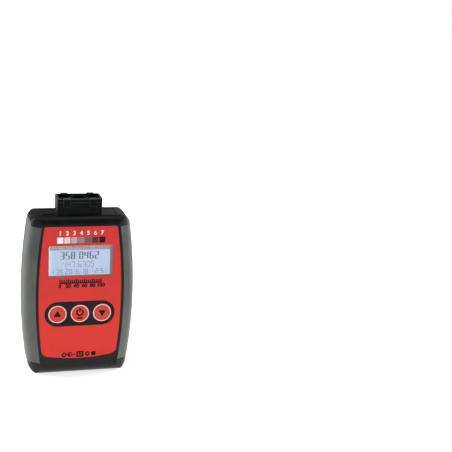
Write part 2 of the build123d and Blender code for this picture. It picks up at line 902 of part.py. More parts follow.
# Aperture cap: a tray with a raised rim that clips over the head, open in the middle for the light.
with BuildPart() as aperture_cap:
    extrude(head_face(level(head_high), head_width, head_depth, head_corner_radius), amount=cap_height)
    extrude(
        head_face(
            level(cap_floor_high),
            head_width - 2 * cap_rim,
            head_depth - 2 * cap_rim,
            head_corner_radius - cap_rim / 2,
        ),
        amount=cap_height,
        mode=Mode.SUBTRACT,
    )
    for x, side in clip_places:
        add(clip_block(x, side, clip_thickness, clip_low, cap_high + clip_rise, clip_width))
        add(clip_block(x, side, -cap_rim, cap_high, cap_high + clip_rise, clip_width))
        nib_high = clip_low + 2 * clip_rise - fit
        add(clip_block(x, side, -clip_thickness, clip_low + fit, nib_high, clip_width - 2 * fit))
    with BuildSketch(level(head_high)):
        with Locations((0, head_centre_y)):
            Circle(aperture_diameter / 2)
    extrude(amount=cap_floor, mode=Mode.SUBTRACT)
finish(aperture_cap, "aperture_cap")

# Aperture gasket: a foam ring that shuts out stray light.
with BuildPart() as aperture_gasket:
    with BuildSketch(level(cap_floor_high)):
        with Locations((0, head_centre_y)):
            Circle(aperture_diameter / 2 + gasket_ring_width)
            Circle(aperture_diameter / 2, mode=Mode.SUBTRACT)
    extrude(amount=gasket_ring_height)
finish(aperture_gasket, "aperture_gasket")

# Aperture glass: a disc that seals the optics.
with BuildPart() as aperture_glass:
    with BuildSketch(level(head_high - aperture_glass_thickness)):
        with Locations((0, head_centre_y)):
            Circle(aperture_glass_radius)
    extrude(amount=aperture_glass_thickness)
finish(aperture_glass, "aperture_glass")

both_ways = (-1, 1)
lens_high = optics_low + optics_length / 2
lamp_foot = (lamp_distance + lamp_length) / sqrt(2)
lead_x = lamp_foot + 2 * lead_radius
lead_top = sample_z - lamp_foot + 2 * lead_radius


def lamp_axis(side):
    """The plane across a lamp's axis at the middle of the sample, facing down and out at 45 degrees."""
    return Plane(origin=(0, head_centre_y, sample_z), x_dir=(0, 1, 0), z_dir=(side, 0, -1))


# Optics block: lamp channels at 45 degrees on both sides and a straight viewing bore in the middle.
with BuildPart() as optics_block:
    add(head_block(spigot_room_width - 2 * fit, spigot_room_depth - 2 * fit, optics_low, head_high))
    add(head_block(room_width - 2 * fit, room_depth - 2 * fit, shoulder_z, head_high))
    with BuildSketch(level(head_high)):
        with Locations((0, head_centre_y)):
            Circle(aperture_glass_radius + fit)
    extrude(amount=-aperture_glass_thickness, mode=Mode.SUBTRACT)
    with BuildSketch(level(optics_low)):
        with Locations((0, head_centre_y)):
            Circle(viewing_bore_radius)
    extrude(amount=optics_length, mode=Mode.SUBTRACT)
    with BuildSketch(level(optics_low)):
        with Locations((0, head_centre_y)):
            Circle(lens_radius + fit)
    extrude(amount=lens_high - optics_low, mode=Mode.SUBTRACT)
    for side in both_ways:
        with BuildSketch(lamp_axis(side)):
            Circle(lamp_radius + fit)
        extrude(amount=2 * lamp_distance, mode=Mode.SUBTRACT)
        lead_edges = sorted((side * (lead_x - 2 * lead_radius), side * head_width / 2))
        lead_channel = box_between(
            lead_edges,
            (head_centre_y - lamp_radius, head_centre_y + lamp_radius),
            (optics_low, lead_top),
        )
        add(lead_channel, mode=Mode.SUBTRACT)
    with BuildSketch(level(optics_low)):
        with Locations((0, head_centre_y)):
            with GridLocations(sensor_screw_spacing, 1, 2, 1):
                Circle(sensor_screw_radius + thread_fit)
    extrude(amount=2 * sensor_board_thickness, mode=Mode.SUBTRACT)
finish(optics_block, "optics_block")

# Measuring lamps: two lamps in their channels, each with two straight leads down to the sensor board.
with BuildPart() as measuring_lamps:
    for side in both_ways:
        with BuildSketch(lamp_axis(side).offset(lamp_distance)):
            Circle(lamp_radius)
        extrude(amount=lamp_length)
        with BuildSketch(level(optics_low)):
            with Locations((side * lead_x, head_centre_y)):
                with GridLocations(1, lamp_radius, 1, 2):
                    Circle(lead_radius)
        extrude(amount=lead_top - optics_low)
finish(measuring_lamps, "measuring_lamps")

# Collecting lens: a disc with a domed lower face, seated at the top of its bore.
with BuildPart() as collecting_lens:
    with BuildSketch(level(lens_high)):
        with Locations((0, head_centre_y)):
            Circle(lens_radius)
    extrude(amount=-lens_thickness)
    fillet(collecting_lens.edges().group_by(Axis.Z)[0], lens_thickness / 2)
finish(collecting_lens, "collecting_lens")

# Sensor board, screwed to the underside of the optics block.
with BuildPart() as sensor_board:
    with BuildSketch(level(sensor_board_low)):
        with Locations((0, head_centre_y)):
            Rectangle(sensor_board_width, sensor_board_depth)
            with GridLocations(sensor_screw_spacing, 1, 2, 1):
                Circle(sensor_screw_radius + loose_fit, mode=Mode.SUBTRACT)
    extrude(amount=sensor_board_thickness)
finish(sensor_board, "sensor_board")

# Colour sensor, under the lens.
with BuildPart() as colour_sensor:
    with BuildSketch(level(optics_low)):
        with Locations((0, head_centre_y)):
            Rectangle(sensor_size, sensor_size)
    extrude(amount=sensor_height)
finish(colour_sensor, "colour_sensor")

# Sensor screws: two, from below.
with BuildPart() as sensor_screws:
    for x in (-sensor_screw_spacing / 2, sensor_screw_spacing / 2):
        seat = Plane(origin=(x, head_centre_y, sensor_board_low), x_dir=(1, 0, 0), z_dir=(0, 0, 1))
        head_radius = 2 * sensor_screw_radius
        add(screw(seat, head_radius, sensor_height, sensor_screw_radius, 3 * sensor_board_thickness))
finish(sensor_screws, "sensor_screws")

door_half_width = rebate_half_width - loose_fit
door_low = rebate_low + loose_fit
tongue_half = door_tongue_width / 2

# Battery door: a plate with a knuckle and two pins at its upper edge and a bent tongue as its catch.
with BuildPart() as battery_door:
    add(box_between((-door_half_width, door_half_width), (door_y, back_y), (door_low, hinge_z)))
    with BuildSketch(Plane.YZ):
        with Locations((hinge_y, hinge_z)):
            Circle(door_knuckle_radius)
    extrude(amount=door_half_width, both=True)
    with BuildSketch(Plane.YZ):
        with Locations((hinge_y, hinge_z)):
            Circle(door_pin_radius)
    extrude(amount=rebate_half_width + door_pin_length, both=True)
    for side in both_ways:
        slot_edges = sorted((side * tongue_half, side * (tongue_half + door_slot)))
        slot = box_between(slot_edges, (door_y, back_y), (door_low, door_low + door_tongue_length))
        add(slot, mode=Mode.SUBTRACT)
    with BuildSketch(across(back_y)):
        with Locations((0, door_low + door_tongue_length / 2)):
            with GridLocations(1, door_groove_pitch, 1, door_groove_count):
                Rectangle(door_tongue_width - door_groove_pitch, door_groove_pitch / 2)
    extrude(amount=door_groove_depth, mode=Mode.SUBTRACT)
finish(battery_door, "battery_door")

lower_plate_high = bay_low + contact_thickness
upper_plate_low = bay_high - contact_thickness
left_cell_low = lower_plate_high + spring_length
right_cell_high = upper_plate_low - spring_length


def cell(x, flat_end, direction):
    """A cell standing on its flat end, with its stud pointing along direction (1 is up)."""
    end = Plane(origin=(x, cell_y, flat_end), x_dir=(1, 0, 0), z_dir=(0, 0, direction))
    with BuildPart() as body:
        with BuildSketch(end):
            Circle(cell_radius)
        extrude(amount=cell_length)
        with BuildSketch(end.offset(cell_length)):
            Circle(cell_stud_radius)
        extrude(amount=cell_stud)
    return body.part


# The two cells, in opposite directions.
with BuildPart() as cell_left:
    add(cell(-cell_x, left_cell_low, 1))
finish(cell_left, "cell_left")

with BuildPart() as cell_right:
    add(cell(cell_x, right_cell_high, -1))
finish(cell_right, "cell_right")


# The conical coil spring that both ends of the bay use: it hangs down from its wide end and
# narrows towards the cell.
with BuildPart() as cell_spring:
    coil_height = spring_length - 2 * spring_wire_radius
    with BuildLine():
        coil_path = Helix(
            coil_height / spring_turns,
            coil_height,
            spring_base_radius,
            center=(0, 0, -spring_wire_radius),
            direction=(0, 0, -1),
            cone_angle=degrees(atan((spring_tip_radius - spring_base_radius) / coil_height)),
        )
    with BuildSketch(Plane(origin=coil_path @ 0, z_dir=coil_path % 0)):
        Circle(spring_wire_radius)
    sweep(path=coil_path, is_frenet=True)


def spring(x, base_z, turn):
    """The coil spring with its wide end at base_z, turned over by turn degrees."""
    return cell_spring.part.moved(Location((x, cell_y, base_z), (turn, 0, 0)))


def contact_plate(x_range, low):
    """A flat contact plate across the end of the bay."""
    plate_y = (cell_y - spring_base_radius, cell_y + spring_base_radius)
    return box_between(x_range, plate_y, (low, low + contact_thickness))


def dimple(x, base_z, direction):
    """The raised round button that touches a cell's stud."""
    face = Plane(origin=(x, cell_y, base_z), x_dir=(1, 0, 0), z_dir=(0, 0, direction))
    with BuildPart() as body:
        with BuildSketch(face):
            Circle(cell_stud_radius - contact_dimple)
        extrude(amount=contact_dimple)
    return body.part


def tag(x):
    """The strip that runs from an upper contact plate through the bay floor to the board."""
    return box_between(
        (x - tag_width / 2, x + tag_width / 2),
        (board_back_y, cell_y),
        (upper_plate_low, bay_high),
    )


# Bridge contact at the bottom of the bay: joins the left cell's flat end to the right cell's stud.
with BuildPart() as bridge_contact:
    bridge_reach = cell_x + spring_base_radius
    add(contact_plate((-bridge_reach, bridge_reach), bay_low))
    add(spring(-cell_x, lower_plate_high, 180))
    add(dimple(cell_x, lower_plate_high, 1))
finish(bridge_contact, "bridge_contact")

# Positive contact at the top left, with its tag.
with BuildPart() as positive_contact:
    add(contact_plate((-cell_x - spring_base_radius, -cell_x + spring_base_radius), upper_plate_low))
    add(dimple(-cell_x, upper_plate_low, -1))
    add(tag(-cell_x))
finish(positive_contact, "positive_contact")

# Negative contact at the top right, with its tag.
with BuildPart() as negative_contact:
    add(contact_plate((cell_x - spring_base_radius, cell_x + spring_base_radius), upper_plate_low))
    add(spring(cell_x, upper_plate_low, 0))
    add(tag(cell_x))
finish(negative_contact, "negative_contact")
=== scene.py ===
import math

import bmesh
import bpy
from mathutils import Matrix, Vector


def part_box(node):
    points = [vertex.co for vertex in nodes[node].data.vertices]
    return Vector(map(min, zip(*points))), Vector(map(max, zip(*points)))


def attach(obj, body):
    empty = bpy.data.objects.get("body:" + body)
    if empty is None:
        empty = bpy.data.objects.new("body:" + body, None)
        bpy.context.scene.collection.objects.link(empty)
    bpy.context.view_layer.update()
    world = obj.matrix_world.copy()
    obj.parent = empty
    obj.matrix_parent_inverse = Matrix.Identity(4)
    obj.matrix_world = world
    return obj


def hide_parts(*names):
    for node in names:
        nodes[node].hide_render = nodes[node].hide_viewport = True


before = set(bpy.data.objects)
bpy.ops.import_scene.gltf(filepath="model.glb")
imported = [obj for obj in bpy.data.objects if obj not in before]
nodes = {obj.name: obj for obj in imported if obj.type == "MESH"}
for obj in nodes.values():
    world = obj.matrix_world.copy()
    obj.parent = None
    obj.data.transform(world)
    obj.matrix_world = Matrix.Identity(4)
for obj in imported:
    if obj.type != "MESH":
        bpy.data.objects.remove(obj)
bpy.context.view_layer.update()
scene = bpy.context.scene
MM = 0.001

# Front and rear shells: two halves moulded in black ABS. The tool is spark eroded, which gives
# the eye an even fine grain under a soft sheen, with edges that handling has polished and that
# are painted paler as a painted highlight. The black is painted paler towards the bottom as painted light.
ABS_BLACK = "#070808"
ABS_BLACK_WORN_AND_LIT = "#1f201f"
SPARK_GRAIN = 0.6 * MM  # coarser than the real 0.1 mm so that it shows
HANDLING_PATCH = 14 * MM
PATCH_CLEAN, PATCH_RUBBED = 0.38, 0.68  # of the patches' noise, from 0 to 1
EDGE_WHOLE, EDGE_WORN_AND_HIGHLIT, EDGE_RUB_AND_HIGHLIGHT = 0.995, 0.80, 0.8  # cosines of an edge's lean, and how far it is rubbed and painted paler as a painted highlight
DULLER, GLOSSIER = 0.04, 0.1  # change of roughness where nothing rubs, and where all is rubbed
# Painted light: from the first height down to the second the surface is painted paler, as far as the last
# value.
PAINTED_LIGHT_START, PAINTED_LIGHT_FULL, PAINTED_LIGHT_GAIN = 112 * MM, 15 * MM, 0.55


def linear(colour):
    """An sRGB hex colour as linear red, green, blue and alpha."""
    parts = [int(colour[i:i + 2], 16) / 255 for i in (1, 3, 5)]
    return [v / 12.92 if v <= 0.04045 else ((v + 0.055) / 1.055) ** 2.4 for v in parts] + [1.0]


def add_node(tree, kind, links=None, values=None, stops=None, **settings):
    """Adds one shader node with its settings, the links that feed it, its values and ramp stops."""
    made = tree.nodes.new("ShaderNode" + kind)
    for name, value in settings.items():
        setattr(made, name, value)
    for name, value in (values or {}).items():
        made.inputs[name].default_value = value
    for name, source in (links or {}).items():
        tree.links.new(source, made.inputs[name])
    if stops:
        ramp = made.color_ramp.elements
        while len(ramp) < len(stops):
            ramp.new(0.5)
        for element, (position, colour) in zip(ramp, stops):
            element.position = position
            element.color = linear(colour)
    return made


def new_material(name, **sockets):
    """A material with its node tree and its shader, whose constant sockets are set here."""
    material = bpy.data.materials.new(name)
    material.use_nodes = True
    shader = material.node_tree.nodes["Principled BSDF"]
    for socket, value in sockets.items():
        shader.inputs[socket.replace("_", " ")].default_value = value
    return material, material.node_tree, shader


def finish_node(name, material):
    """Gives a carried-over piece its real finish."""
    nodes[name].data.materials.clear()
    nodes[name].data.materials.append(material)


def moulded(name, dark, light, roughness, grain, depth, edge=0.3 * MM, patch=HANDLING_PATCH, rub=0.4,
            painted_light_heights=None, **sockets):
    """A moulded surface: its grain, its edges rubbed and painted paler as a painted highlight, and the
    patches that handling leaves.

    The optional pair of heights is where a painted light, a paler and glossier tone, starts and where it is
    full."""
    material, tree, shader = new_material(name, **sockets)
    place = add_node(tree, "TexCoord").outputs["Object"]
    spark = add_node(tree, "TexNoise", {"Vector": place}, {"Scale": 1 / grain, "Detail": 3.0})
    patches = add_node(tree, "TexNoise", {"Vector": place}, {"Scale": 1 / patch, "Detail": 4.0})
    rounded = add_node(tree, "Bevel", values={"Radius": edge}, samples=6)
    true_normal = add_node(tree, "NewGeometry").outputs["Normal"]
    # The edges are painted paler: partly rubbed wear, partly a painted highlight along them.
    facing = add_node(tree, "VectorMath", {0: rounded.outputs[0], 1: true_normal}, operation="DOT_PRODUCT")
    worn_and_highlit_edges = add_node(tree, "MapRange", {"Value": facing.outputs["Value"]},
                    {"From Min": EDGE_WHOLE, "From Max": EDGE_WORN_AND_HIGHLIT, "To Min": 0.0, "To Max": EDGE_RUB_AND_HIGHLIGHT})
    handled = add_node(tree, "MapRange", {"Value": patches.outputs["Fac"]},
                       {"From Min": PATCH_CLEAN, "From Max": PATCH_RUBBED, "To Min": 0.0, "To Max": rub})
    wear_and_painted_light = add_node(tree, "Math", {0: worn_and_highlit_edges.outputs[0], 1: handled.outputs[0]}, operation="MAXIMUM")
    # Painted light: the tone is painted paler and glossier between the two given heights, standing in for
    # light falling there.
    if painted_light_heights:
        height = add_node(tree, "SeparateXYZ", {"Vector": place})
        painted_light_by_height = add_node(tree, "MapRange", {"Value": height.outputs["Z"]},
                        {"From Min": painted_light_heights[0], "From Max": painted_light_heights[1], "To Min": 0.0, "To Max": PAINTED_LIGHT_GAIN})
        wear_and_painted_light = add_node(tree, "Math", {0: wear_and_painted_light.outputs[0], 1: painted_light_by_height.outputs[0]}, operation="ADD")
    tone = add_node(tree, "ValToRGB", {"Fac": wear_and_painted_light.outputs[0]}, stops=[(0.0, dark), (1.0, light)])
    sheen = add_node(tree, "MapRange", {"Value": wear_and_painted_light.outputs[0]},
                     {"To Min": roughness + DULLER, "To Max": roughness - GLOSSIER})
    bump = add_node(tree, "Bump", {"Height": spark.outputs["Fac"], "Normal": rounded.outputs[0]},
                    {"Strength": 0.7, "Distance": depth})
    tree.links.new(tone.outputs["Color"], shader.inputs["Base Color"])
    tree.links.new(sheen.outputs[0], shader.inputs["Roughness"])
    tree.links.new(bump.outputs[0], shader.inputs["Normal"])
    return material


moulded_black_abs = moulded("moulded_black_abs", ABS_BLACK, ABS_BLACK_WORN_AND_LIT, roughness=0.36, grain=SPARK_GRAIN,
                            depth=0.02 * MM, painted_light_heights=(PAINTED_LIGHT_START, PAINTED_LIGHT_FULL), IOR=1.53,
                            Specular_IOR_Level=0.25)
finish_node("rear_shell", moulded_black_abs)
finish_node("front_shell", moulded_black_abs)

# Battery contacts and conical springs: spring steel, bent and wound, then plated with nickel. It
# is bright and a little warm, with fine lines from the drawing of the strip and wire.
NICKEL_IN_LINE, NICKEL_BRIGHT = "#aaa69b", "#d6d2c8"
DRAW_LINE, LINE_STRETCH = 0.25 * MM, 0.15  # wider than the real 0.02 mm

nickel_plate, tree, shader = new_material("nickel_plate", Metallic=1.0)
place = add_node(tree, "TexCoord").outputs["Object"]
stretch = add_node(tree, "Mapping", {"Vector": place}, {"Scale": (1.0, 1.0, LINE_STRETCH)})
lines = add_node(tree, "TexNoise", {"Vector": stretch.outputs[0]}, {"Scale": 1 / DRAW_LINE, "Detail": 2.0})
tone = add_node(tree, "ValToRGB", {"Fac": lines.outputs["Fac"]},
                stops=[(0.3, NICKEL_IN_LINE), (0.7, NICKEL_BRIGHT)])
sheen = add_node(tree, "MapRange", {"Value": lines.outputs["Fac"]}, {"To Min": 0.22, "To Max": 0.4})
tree.links.new(tone.outputs["Color"], shader.inputs["Base Color"])
tree.links.new(sheen.outputs[0], shader.inputs["Roughness"])
for contact in ("bridge_contact", "positive_contact", "negative_contact"):
    finish_node(contact, nickel_plate)

# The two cells: a steel can in a shrunk printed sleeve, grey-blue with a pale band at the stud
# end. The can's bare steel shows at both ends.
SLEEVE_BLUE, BAND_PALE, STUD_END_GREY, CAN_STEEL = "#3f4a57", "#d9dcdf", "#7f8a96", "#b9b9b4"
SLEEVE_BARE_RIM = 6.3 * MM
PRINT_GRAIN = 1.2 * MM  # coarser than the real 0.2 mm


def cell_sleeve(name, node, stud_up):
    """The sleeve's colours follow the distance from the cell's ends; bare steel shows inside its rims."""
    low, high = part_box(node)
    material, tree, shader = new_material(name)
    place = add_node(tree, "TexCoord").outputs["Object"]
    shift = add_node(tree, "Mapping", {"Vector": place},
                     {"Location": (-(low.x + high.x) / 2, -(low.y + high.y) / 2, -low.z)})
    split = add_node(tree, "SeparateXYZ", {"Vector": shift.outputs[0]})
    along = add_node(tree, "MapRange", {"Value": split.outputs["Z"]},
                     {"From Min": 0.0, "From Max": high.z - low.z,
                      "To Min": 0.0 if stud_up else 1.0, "To Max": 1.0 if stud_up else 0.0})
    bands = add_node(tree, "ValToRGB", {"Fac": along.outputs[0]},
                     stops=[(0.0, SLEEVE_BLUE), (0.66, SLEEVE_BLUE), (0.67, BAND_PALE), (0.70, BAND_PALE),
                            (0.71, STUD_END_GREY)])
    bands.color_ramp.interpolation = "CONSTANT"
    across = add_node(tree, "CombineXYZ", {"X": split.outputs["X"], "Y": split.outputs["Y"]})
    radius = add_node(tree, "VectorMath", {0: across.outputs[0]}, operation="LENGTH")
    bare = add_node(tree, "Math", {0: radius.outputs["Value"]}, {1: SLEEVE_BARE_RIM}, operation="LESS_THAN")
    print_grain = add_node(tree, "TexNoise", {"Vector": place}, {"Scale": 1 / PRINT_GRAIN, "Detail": 3.0})
    mixed = add_node(tree, "MixRGB", {"Fac": bare.outputs[0], "Color1": bands.outputs["Color"]},
                     {"Color2": linear(CAN_STEEL)})
    sheen = add_node(tree, "MapRange", {"Value": print_grain.outputs["Fac"]}, {"To Min": 0.2, "To Max": 0.42})
    tree.links.new(mixed.outputs[0], shader.inputs["Base Color"])
    tree.links.new(bare.outputs[0], shader.inputs["Metallic"])
    tree.links.new(sheen.outputs[0], shader.inputs["Roughness"])
    return material


finish_node("cell_left", cell_sleeve("shrunk_cell_sleeve_left", "cell_left", True))
finish_node("cell_right", cell_sleeve("shrunk_cell_sleeve_right", "cell_right", False))

# Main board and sensor board: glass-epoxy laminate under green solder resist, with copper
# tracks that show through as slightly lighter lines.
TRACK_PITCH = 1.27 * MM
TRACK_WIDTH = 0.12 * TRACK_PITCH
TRACK_LENGTH = 9 * TRACK_PITCH
RESIST_GREEN, RESIST_DEEP, RESIST_ON_COPPER = "#0d4a2a", "#0b4125", "#17663b"
GLASS_WEAVE = 0.5 * MM  # about the real pitch of the threads

solder_resist, tree, shader = new_material("green_solder_resist", Roughness=0.28, IOR=1.55)
place = add_node(tree, "TexCoord").outputs["Object"]
tracks = add_node(tree, "TexBrick", {"Vector": place},
                  {"Scale": 1.0, "Mortar Size": TRACK_WIDTH, "Brick Width": TRACK_LENGTH,
                   "Row Height": TRACK_PITCH, "Color1": linear(RESIST_GREEN), "Color2": linear(RESIST_DEEP),
                   "Mortar": linear(RESIST_ON_COPPER)})
weave = add_node(tree, "TexNoise", {"Vector": place}, {"Scale": 1 / GLASS_WEAVE, "Detail": 2.0})
bump = add_node(tree, "Bump", {"Height": weave.outputs["Fac"]}, {"Strength": 0.3, "Distance": 0.01 * MM})
tree.links.new(tracks.outputs["Color"], shader.inputs["Base Color"])
tree.links.new(bump.outputs[0], shader.inputs["Normal"])
finish_node("main_board", solder_resist)
finish_node("sensor_board", solder_resist)

# Parts on the boards: the chips are moulded epoxy with a dull, even skin. The switches, their
# plungers and the beeper are glass-filled nylon, a little smoother.
moulded_epoxy = moulded("moulded_epoxy", "#1d1d1e", "#3a3a3a", roughness=0.55, grain=0.3 * MM,
                        depth=0.01 * MM, edge=0.15 * MM, IOR=1.55)
for part in ("microcontroller", "board_parts", "colour_sensor"):
    finish_node(part, moulded_epoxy)
switch_nylon = moulded("glass_filled_switch_nylon", "#202021", "#444443", roughness=0.5, grain=0.4 * MM,
                       depth=0.015 * MM, IOR=1.53)
for part in ("key_switches", "plunger_up", "plunger_power", "plunger_down"):
    finish_node(part, switch_nylon)
finish_node("beeper", switch_nylon)

# Ribbon and its sockets: white polyester film laid over flat tinned conductors, which show
# through it as grey stripes. Its ends are pushed into ivory nylon sockets.
FILM_WHITE, FILM_ON_CONDUCTOR = "#d9dadd", "#a9adb4"
CONDUCTOR_PITCH = 2.0 * MM  # coarser than the real 0.5 mm
WAVE_TURN = 20  # radians that the wave texture turns in a unit of its scale

ribbon_film, tree, shader = new_material("white_ribbon_film", Roughness=0.35, IOR=1.5)
place = add_node(tree, "TexCoord").outputs["Object"]
stripes = add_node(tree, "TexWave", {"Vector": place},
                   {"Scale": 2 * math.pi / (WAVE_TURN * CONDUCTOR_PITCH), "Distortion": 0.0},
                   bands_direction="X")
tone = add_node(tree, "ValToRGB", {"Fac": stripes.outputs["Fac"]},
                stops=[(0.35, FILM_WHITE), (0.5, FILM_ON_CONDUCTOR)])
tree.links.new(tone.outputs["Color"], shader.inputs["Base Color"])
finish_node("sensor_ribbon", ribbon_film)
ivory_nylon = moulded("ivory_socket_nylon", "#cfc8b6", "#e2dccd", roughness=0.45, grain=0.4 * MM,
                      depth=0.01 * MM, IOR=1.53)
finish_node("ribbon_sockets", ivory_nylon)

# Screws and display pins: the screws are thread-forming steel with blackened zinc plate, bright
# at the edges where the driver bites. The pins are tinned wire.
blackened_steel = moulded("blackened_zinc_steel", "#5b5b5c", "#a3a3a1", roughness=0.42, grain=0.35 * MM,
                          depth=0.01 * MM, edge=0.12 * MM, patch=2.5 * MM, Metallic=1.0)
for part in ("case_screws", "board_screws", "sensor_screws"):
    finish_node(part, blackened_steel)
tinned_wire = moulded("tinned_wire", "#a9a9a6", "#d0d0cc", roughness=0.35, grain=0.3 * MM,
                      depth=0.01 * MM, patch=1.5 * MM, Metallic=1.0)
finish_node("display_pins", tinned_wire)

# Backlight and display frame: a cast plate of milky acrylic, which spreads the light of the lamps at
# its edge, in a frame moulded of white nylon that holds it and the glass to the main board.
milky_acrylic = moulded("milky_acrylic", "#cfdcec", "#dfe8f4", roughness=0.3, grain=0.8 * MM,
                        depth=0.01 * MM, IOR=1.49)
finish_node("lcd_backlight", milky_acrylic)
white_nylon = moulded("white_frame_nylon", "#cfcfca", "#e2e2de", roughness=0.5, grain=0.5 * MM,
                      depth=0.015 * MM, IOR=1.53)
finish_node("lcd_frame", white_nylon)

# Display glass: a dot-matrix cell lit evenly from behind, pale blue, a little brighter in the
# middle and along its edges, with the faint square net of the gaps between its electrodes.
DOT_PITCH, GAP_SHARE = 0.336 * MM, 0.1
DISPLAY_CENTRE_Z = 85.3 * MM
LIT_HALF_WIDTH, LIT_HALF_HEIGHT = 22.0 * MM, 11.3 * MM
LIT_PALE = "#a9c1e2"
LIT_BRIGHT = "#b2c8e5"
LIT_EDGE = "#d6e2f3"
LIT_GAP = "#c6d6ee"
GLOW = 0.31

lit_display_glass, tree, shader = new_material("lit_display_glass", Roughness=0.2, Emission_Strength=GLOW)
place = add_node(tree, "TexCoord").outputs["Object"]
centred = add_node(tree, "Mapping", {"Vector": place}, {"Location": (0.0, 0.0, -DISPLAY_CENTRE_Z)})
in_dots = add_node(tree, "Mapping", {"Vector": centred.outputs[0]},
                   {"Scale": (1 / DOT_PITCH, 1 / DOT_PITCH, 1 / DOT_PITCH)})
within = add_node(tree, "VectorMath", {0: in_dots.outputs[0]}, operation="FRACTION")
parts = add_node(tree, "SeparateXYZ", {"Vector": within.outputs[0]})
gap_x = add_node(tree, "Math", {0: parts.outputs["X"]}, {1: GAP_SHARE}, operation="LESS_THAN")
gap_z = add_node(tree, "Math", {0: parts.outputs["Z"]}, {1: GAP_SHARE}, operation="LESS_THAN")
gap = add_node(tree, "Math", {0: gap_x.outputs[0], 1: gap_z.outputs[0]}, operation="MAXIMUM")
share = add_node(tree, "Mapping", {"Vector": centred.outputs[0]},
                 {"Scale": (1 / LIT_HALF_WIDTH, 0.0, 1 / LIT_HALF_HEIGHT)})
reach = add_node(tree, "VectorMath", {0: share.outputs[0]}, operation="ABSOLUTE")
reaches = add_node(tree, "SeparateXYZ", {"Vector": reach.outputs[0]})
to_edge = add_node(tree, "Math", {0: reaches.outputs["X"], 1: reaches.outputs["Z"]}, operation="MAXIMUM")
tone = add_node(tree, "ValToRGB", {"Fac": to_edge.outputs[0]},
                stops=[(0.0, LIT_BRIGHT), (0.6, LIT_PALE), (0.88, LIT_PALE), (0.97, LIT_EDGE)])
netted = add_node(tree, "MixRGB", {"Fac": gap.outputs[0], "Color1": tone.outputs["Color"]},
                  {"Color2": linear(LIT_GAP)})
tree.links.new(netted.outputs[0], shader.inputs["Base Color"])
tree.links.new(netted.outputs[0], shader.inputs["Emission Color"])
finish_node("lcd_glass", lit_display_glass)

# The readout: dark dots of the display, each a square between the electrode gaps. Only plain
# numbers are shown: one bold row, one light row, one small row, and a reversed strip on top.
STROKES = {"0": "abcdef", "1": "bc", "2": "abged", "3": "abgcd", "4": "fgbc", "5": "afgcd",
           "6": "afgedc", "7": "abc", "8": "abcdefg", "9": "abcdfg", "-": "g"}
DARK_DOT, DARK_DOT_THIN = "#222a3c", "#2d3750"
GREY_DOT, GREY_DOT_THIN = "#b0a192", "#bcad9e"
DOT_COLUMNS, DOT_ROWS, STRIP_ROWS = 128, 64, 10
DOT_THICKNESS, DOT_MARGIN = 0.03 * MM, 0.05 * DOT_PITCH
GLASS_Y = -13.0 * MM
FIGURE_GAP = 2
# Figures, the left and top dots of the first, and the width, height and stroke of each, in dots.
STRIP_FIGURES = ("14 25 08 36 47 50 92", 4, 2, 4, 6, 1)
READOUT_FIGURES = [("358 0462", 22, 14, 9, 16, 3), ("147 6305", 27, 35, 7, 13, 1), ("1", 2, 52, 6, 11, 1),
                   ("35.20", 14, 52, 6, 11, 1), ("6.18", 55, 52, 6, 11, 1), ("-2.5", 88, 52, 6, 11, 1)]


def new_piece(name, mesh_maker, material, body, smooth=False):
    """A mesh piece made by mesh_maker, with its finish, riding on a body."""
    mesh = bpy.data.meshes.new(name)
    maker = bmesh.new()
    mesh_maker(maker)
    bmesh.ops.recalc_face_normals(maker, faces=maker.faces)
    maker.to_mesh(mesh)
    maker.free()
    mesh.materials.append(material)
    for face in mesh.polygons:
        face.use_smooth = smooth
    piece = bpy.data.objects.new(name, mesh)
    scene.collection.objects.link(piece)
    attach(piece, body)
    return piece


def add_block(maker, low, high):
    """A closed block between two corners, in metres."""
    corners = [maker.verts.new((x, y, z)) for x in (low[0], high[0]) for y in (low[1], high[1])
               for z in (low[2], high[2])]
    for loop in ((0, 1, 3, 2), (4, 6, 7, 5), (0, 4, 5, 1), (2, 3, 7, 6), (0, 2, 6, 4), (1, 5, 7, 3)):
        maker.faces.new([corners[i] for i in loop])


def number_dots(text, left, top, width, height, stroke):
    """The dots of a row of numerals whose top-left dot is given, drawn from straight strokes."""
    dots = set()
    middle = height // 2
    x = left
    for sign in text:
        if sign == " ":
            x += width // 2 + FIGURE_GAP
            continue
        if sign == ".":
            dots |= {(x + i, top + height - 1 - j) for i in range(stroke) for j in range(stroke)}
            x += stroke + FIGURE_GAP
            continue
        for part in STROKES[sign]:
            if part in "adg":
                row = {"a": 0, "g": middle, "d": height - 1}[part]
                dots |= {(x + i, top + row) for i in range(1, width - 1)}
            else:
                rows = range(1, middle) if part in "bf" else range(middle + 1, height - 1)
                side = 0 if part in "ef" else width - stroke
                dots |= {(x + side + i, top + j) for i in range(stroke) for j in rows}
        x += width + FIGURE_GAP
    return dots


def dots_maker(dots):
    """Squares for a set of dots, counted from the display's top-left corner."""
    left = -DOT_COLUMNS / 2 * DOT_PITCH
    top = DISPLAY_CENTRE_Z + DOT_ROWS / 2 * DOT_PITCH

    def make(maker):
        for column, row in sorted(dots):
            x, z = left + column * DOT_PITCH, top - row * DOT_PITCH
            add_block(maker, (x + DOT_MARGIN, GLASS_Y - DOT_THICKNESS, z - DOT_PITCH + DOT_MARGIN),
                      (x + DOT_PITCH - DOT_MARGIN, GLASS_Y, z - DOT_MARGIN))
    return make


